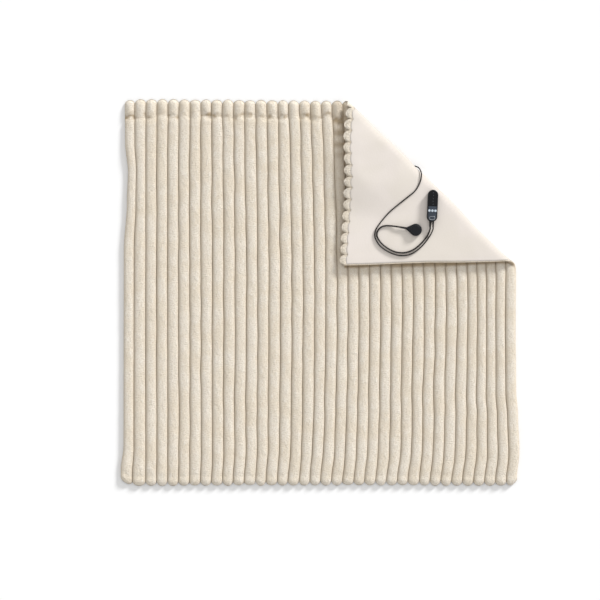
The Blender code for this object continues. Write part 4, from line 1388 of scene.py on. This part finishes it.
def makeTie():
    tie = tieSet
    strap = startBox(
        "coilTie", (tie["outer"] - tie["inner"], tie["width"], tie["high"] - tie["low"]),
        ((tie["inner"] + tie["outer"]) / 2, 0.0, (tie["low"] + tie["high"]) / 2),
    )
    pick("FACE", lambda face: abs(face.normal.y) > selectSet["facing"])
    bpy.ops.mesh.delete(type="ONLY_FACE")
    pick("EDGE", lambda edge: abs(edge.verts[0].co.y - edge.verts[1].co.y) > 0.9 * tie["width"])
    bpy.ops.mesh.bevel(offset=tie["rounding"], segments=4, affect="EDGES")
    endEdit()
    wall = strap.modifiers.new("wall", "SOLIDIFY")
    wall.thickness = tie["thickness"]
    wall.offset = 1.0
    bpy.ops.object.modifier_apply(modifier="wall")
    # The strap's loose end lies on its own upper side.
    middle = tie["inner"] + tie["lapPlace"]
    lap = startBox(
        "tieLap", (tie["lapLength"], 0.93 * tie["width"], 0.8 * tie["thickness"]),
        (middle, 0.0, tie["high"] + 1.45 * tie["thickness"]),
    )
    pick("EDGE", lambda edge: abs(edge.verts[0].co.z - edge.verts[1].co.z) > tie["thickness"] / 2
         and edge.verts[0].co.x > middle)
    bpy.ops.mesh.bevel(offset=tie["lapRounding"], segments=4, affect="EDGES")
    seat = Matrix.Translation((cordSet["coilX"], cordSet["coilY"], 0.0))
    seat = seat @ Matrix.Rotation(math.radians(tie["turn"]), 4, "Z")
    return setDown(strap, seat, "strap"), setDown(lap, seat, "strap")


controlBase, controlCover = makeHousing()
windowLens, levelLamps = makeWindow()
keyPanel, ovalTrim = makePanel()
keys = makeKeys()
controlCordRelief, mainsCordRelief = makeReliefs()
print("hand control modelled")
connectorShell, connectorLid, connectorGrips, connectorRelief = makeConnector()
print("connector modelled")
plugBody, bladeLeft, bladeRight, plugRelief = makePlug()
coilTie, tieLap = makeTie()
print("plug and tie modelled")

# Floor and light.
studio = {
    "floorSize": 40.0,
    "floorHeight": -0.0004,
    "floorColour": (0.96, 0.96, 0.96, 1.0),
    "floorGloss": 0.1,
    "floorRoughness": 0.9,
    "sunTurn": 50.0,  # from +X towards +Y
    "sunRise": 19.0,
    "sunDistance": 3.0,
    "sunStrength": 3.3,
    "sunSoftness": 11.0,
    "worldStrength": 0.715,
}


def makeFloor():
    bpy.ops.object.select_all(action="DESELECT")
    bpy.ops.mesh.primitive_plane_add(size=studio["floorSize"], location=(0.0, 0.0, studio["floorHeight"]))
    floor = bpy.context.active_object
    floor.name = "studioFloor"
    settings = {"Base Color": studio["floorColour"], "Specular IOR Level": studio["floorGloss"]}
    floor.data.materials.append(startMaterial("studioWhite", studio["floorRoughness"], **settings)[0])


def makeSun():
    data = bpy.data.lights.new("keySun", "SUN")
    data.energy = studio["sunStrength"]
    data.angle = math.radians(studio["sunSoftness"])
    light = addObject("keySun", data)
    turn, rise = math.radians(studio["sunTurn"]), math.radians(studio["sunRise"])
    sunward = Vector((math.cos(rise) * math.cos(turn), math.cos(rise) * math.sin(turn), math.sin(rise)))
    light.rotation_euler = (-sunward).to_track_quat("-Z", "Y").to_euler()
    light.location = studio["sunDistance"] * sunward


def makeWorld():
    world = bpy.data.worlds.new("studioWorld")
    world.use_nodes = True
    background = world.node_tree.nodes["Background"]
    background.inputs["Color"].default_value = (1.0, 1.0, 1.0, 1.0)
    background.inputs["Strength"].default_value = studio["worldStrength"]
    bpy.context.scene.world = world


makeFloor()
makeSun()
makeWorld()
bpy.context.scene.view_settings.view_transform = "Standard"
print("studio ready")

giveLook(controlLead, "sleeve")
giveLook(mainsLead, "sleeve")
# Every piece that rides on the throw itself: what it stands for, and its finish.
onThrow = (
    (plushFace, "plush", ("face_panel",)),
    (brushedBack, "fleece", ("back_panel",)),
    (hemStitches, "fleece", ()),
    (controlLead, "cord_sleeve", ("control_cord",)),
    (mainsLead, "cord_sleeve", ("mains_cord", "mains_coil", "mains_cord_tail")),
    (controlBase, "shell_plastic", ("control_base",)),
    (controlCover, "shell_plastic", ("control_cover",)),
    (windowLens, "window_plastic", ("display_window",)),
    (levelLamps, "window_plastic", ()),
    (keyPanel, "shell_plastic", ()),
    (ovalTrim, "button_plastic", ()),
    (controlCordRelief, "cord_sleeve", ("control_cord_relief",)),
    (mainsCordRelief, "cord_sleeve", ("mains_cord_relief",)),
    (connectorShell, "shell_plastic", ("connector_shell",)),
    (connectorLid, "shell_plastic", ("connector_lid",)),
    (connectorGrips, "cord_sleeve", ()),
    (connectorRelief, "cord_sleeve", ("connector_relief",)),
    (plugBody, "cord_sleeve", ("plug_body",)),
    (plugRelief, "cord_sleeve", ("plug_relief",)),
    (bladeLeft, "blade_metal", ("plug_blade_left",)),
    (bladeRight, "blade_metal", ("plug_blade_right",)),
    (coilTie, "cord_sleeve", ("coil_tie",)),
    (tieLap, "cord_sleeve", ()),
)
for piece, slot, nodes in onThrow:
    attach(piece, "throw")
    if nodes:
        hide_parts(*nodes)
for body, key in keys.items():
    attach(key, body)
    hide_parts("button_" + body.split("_")[0])
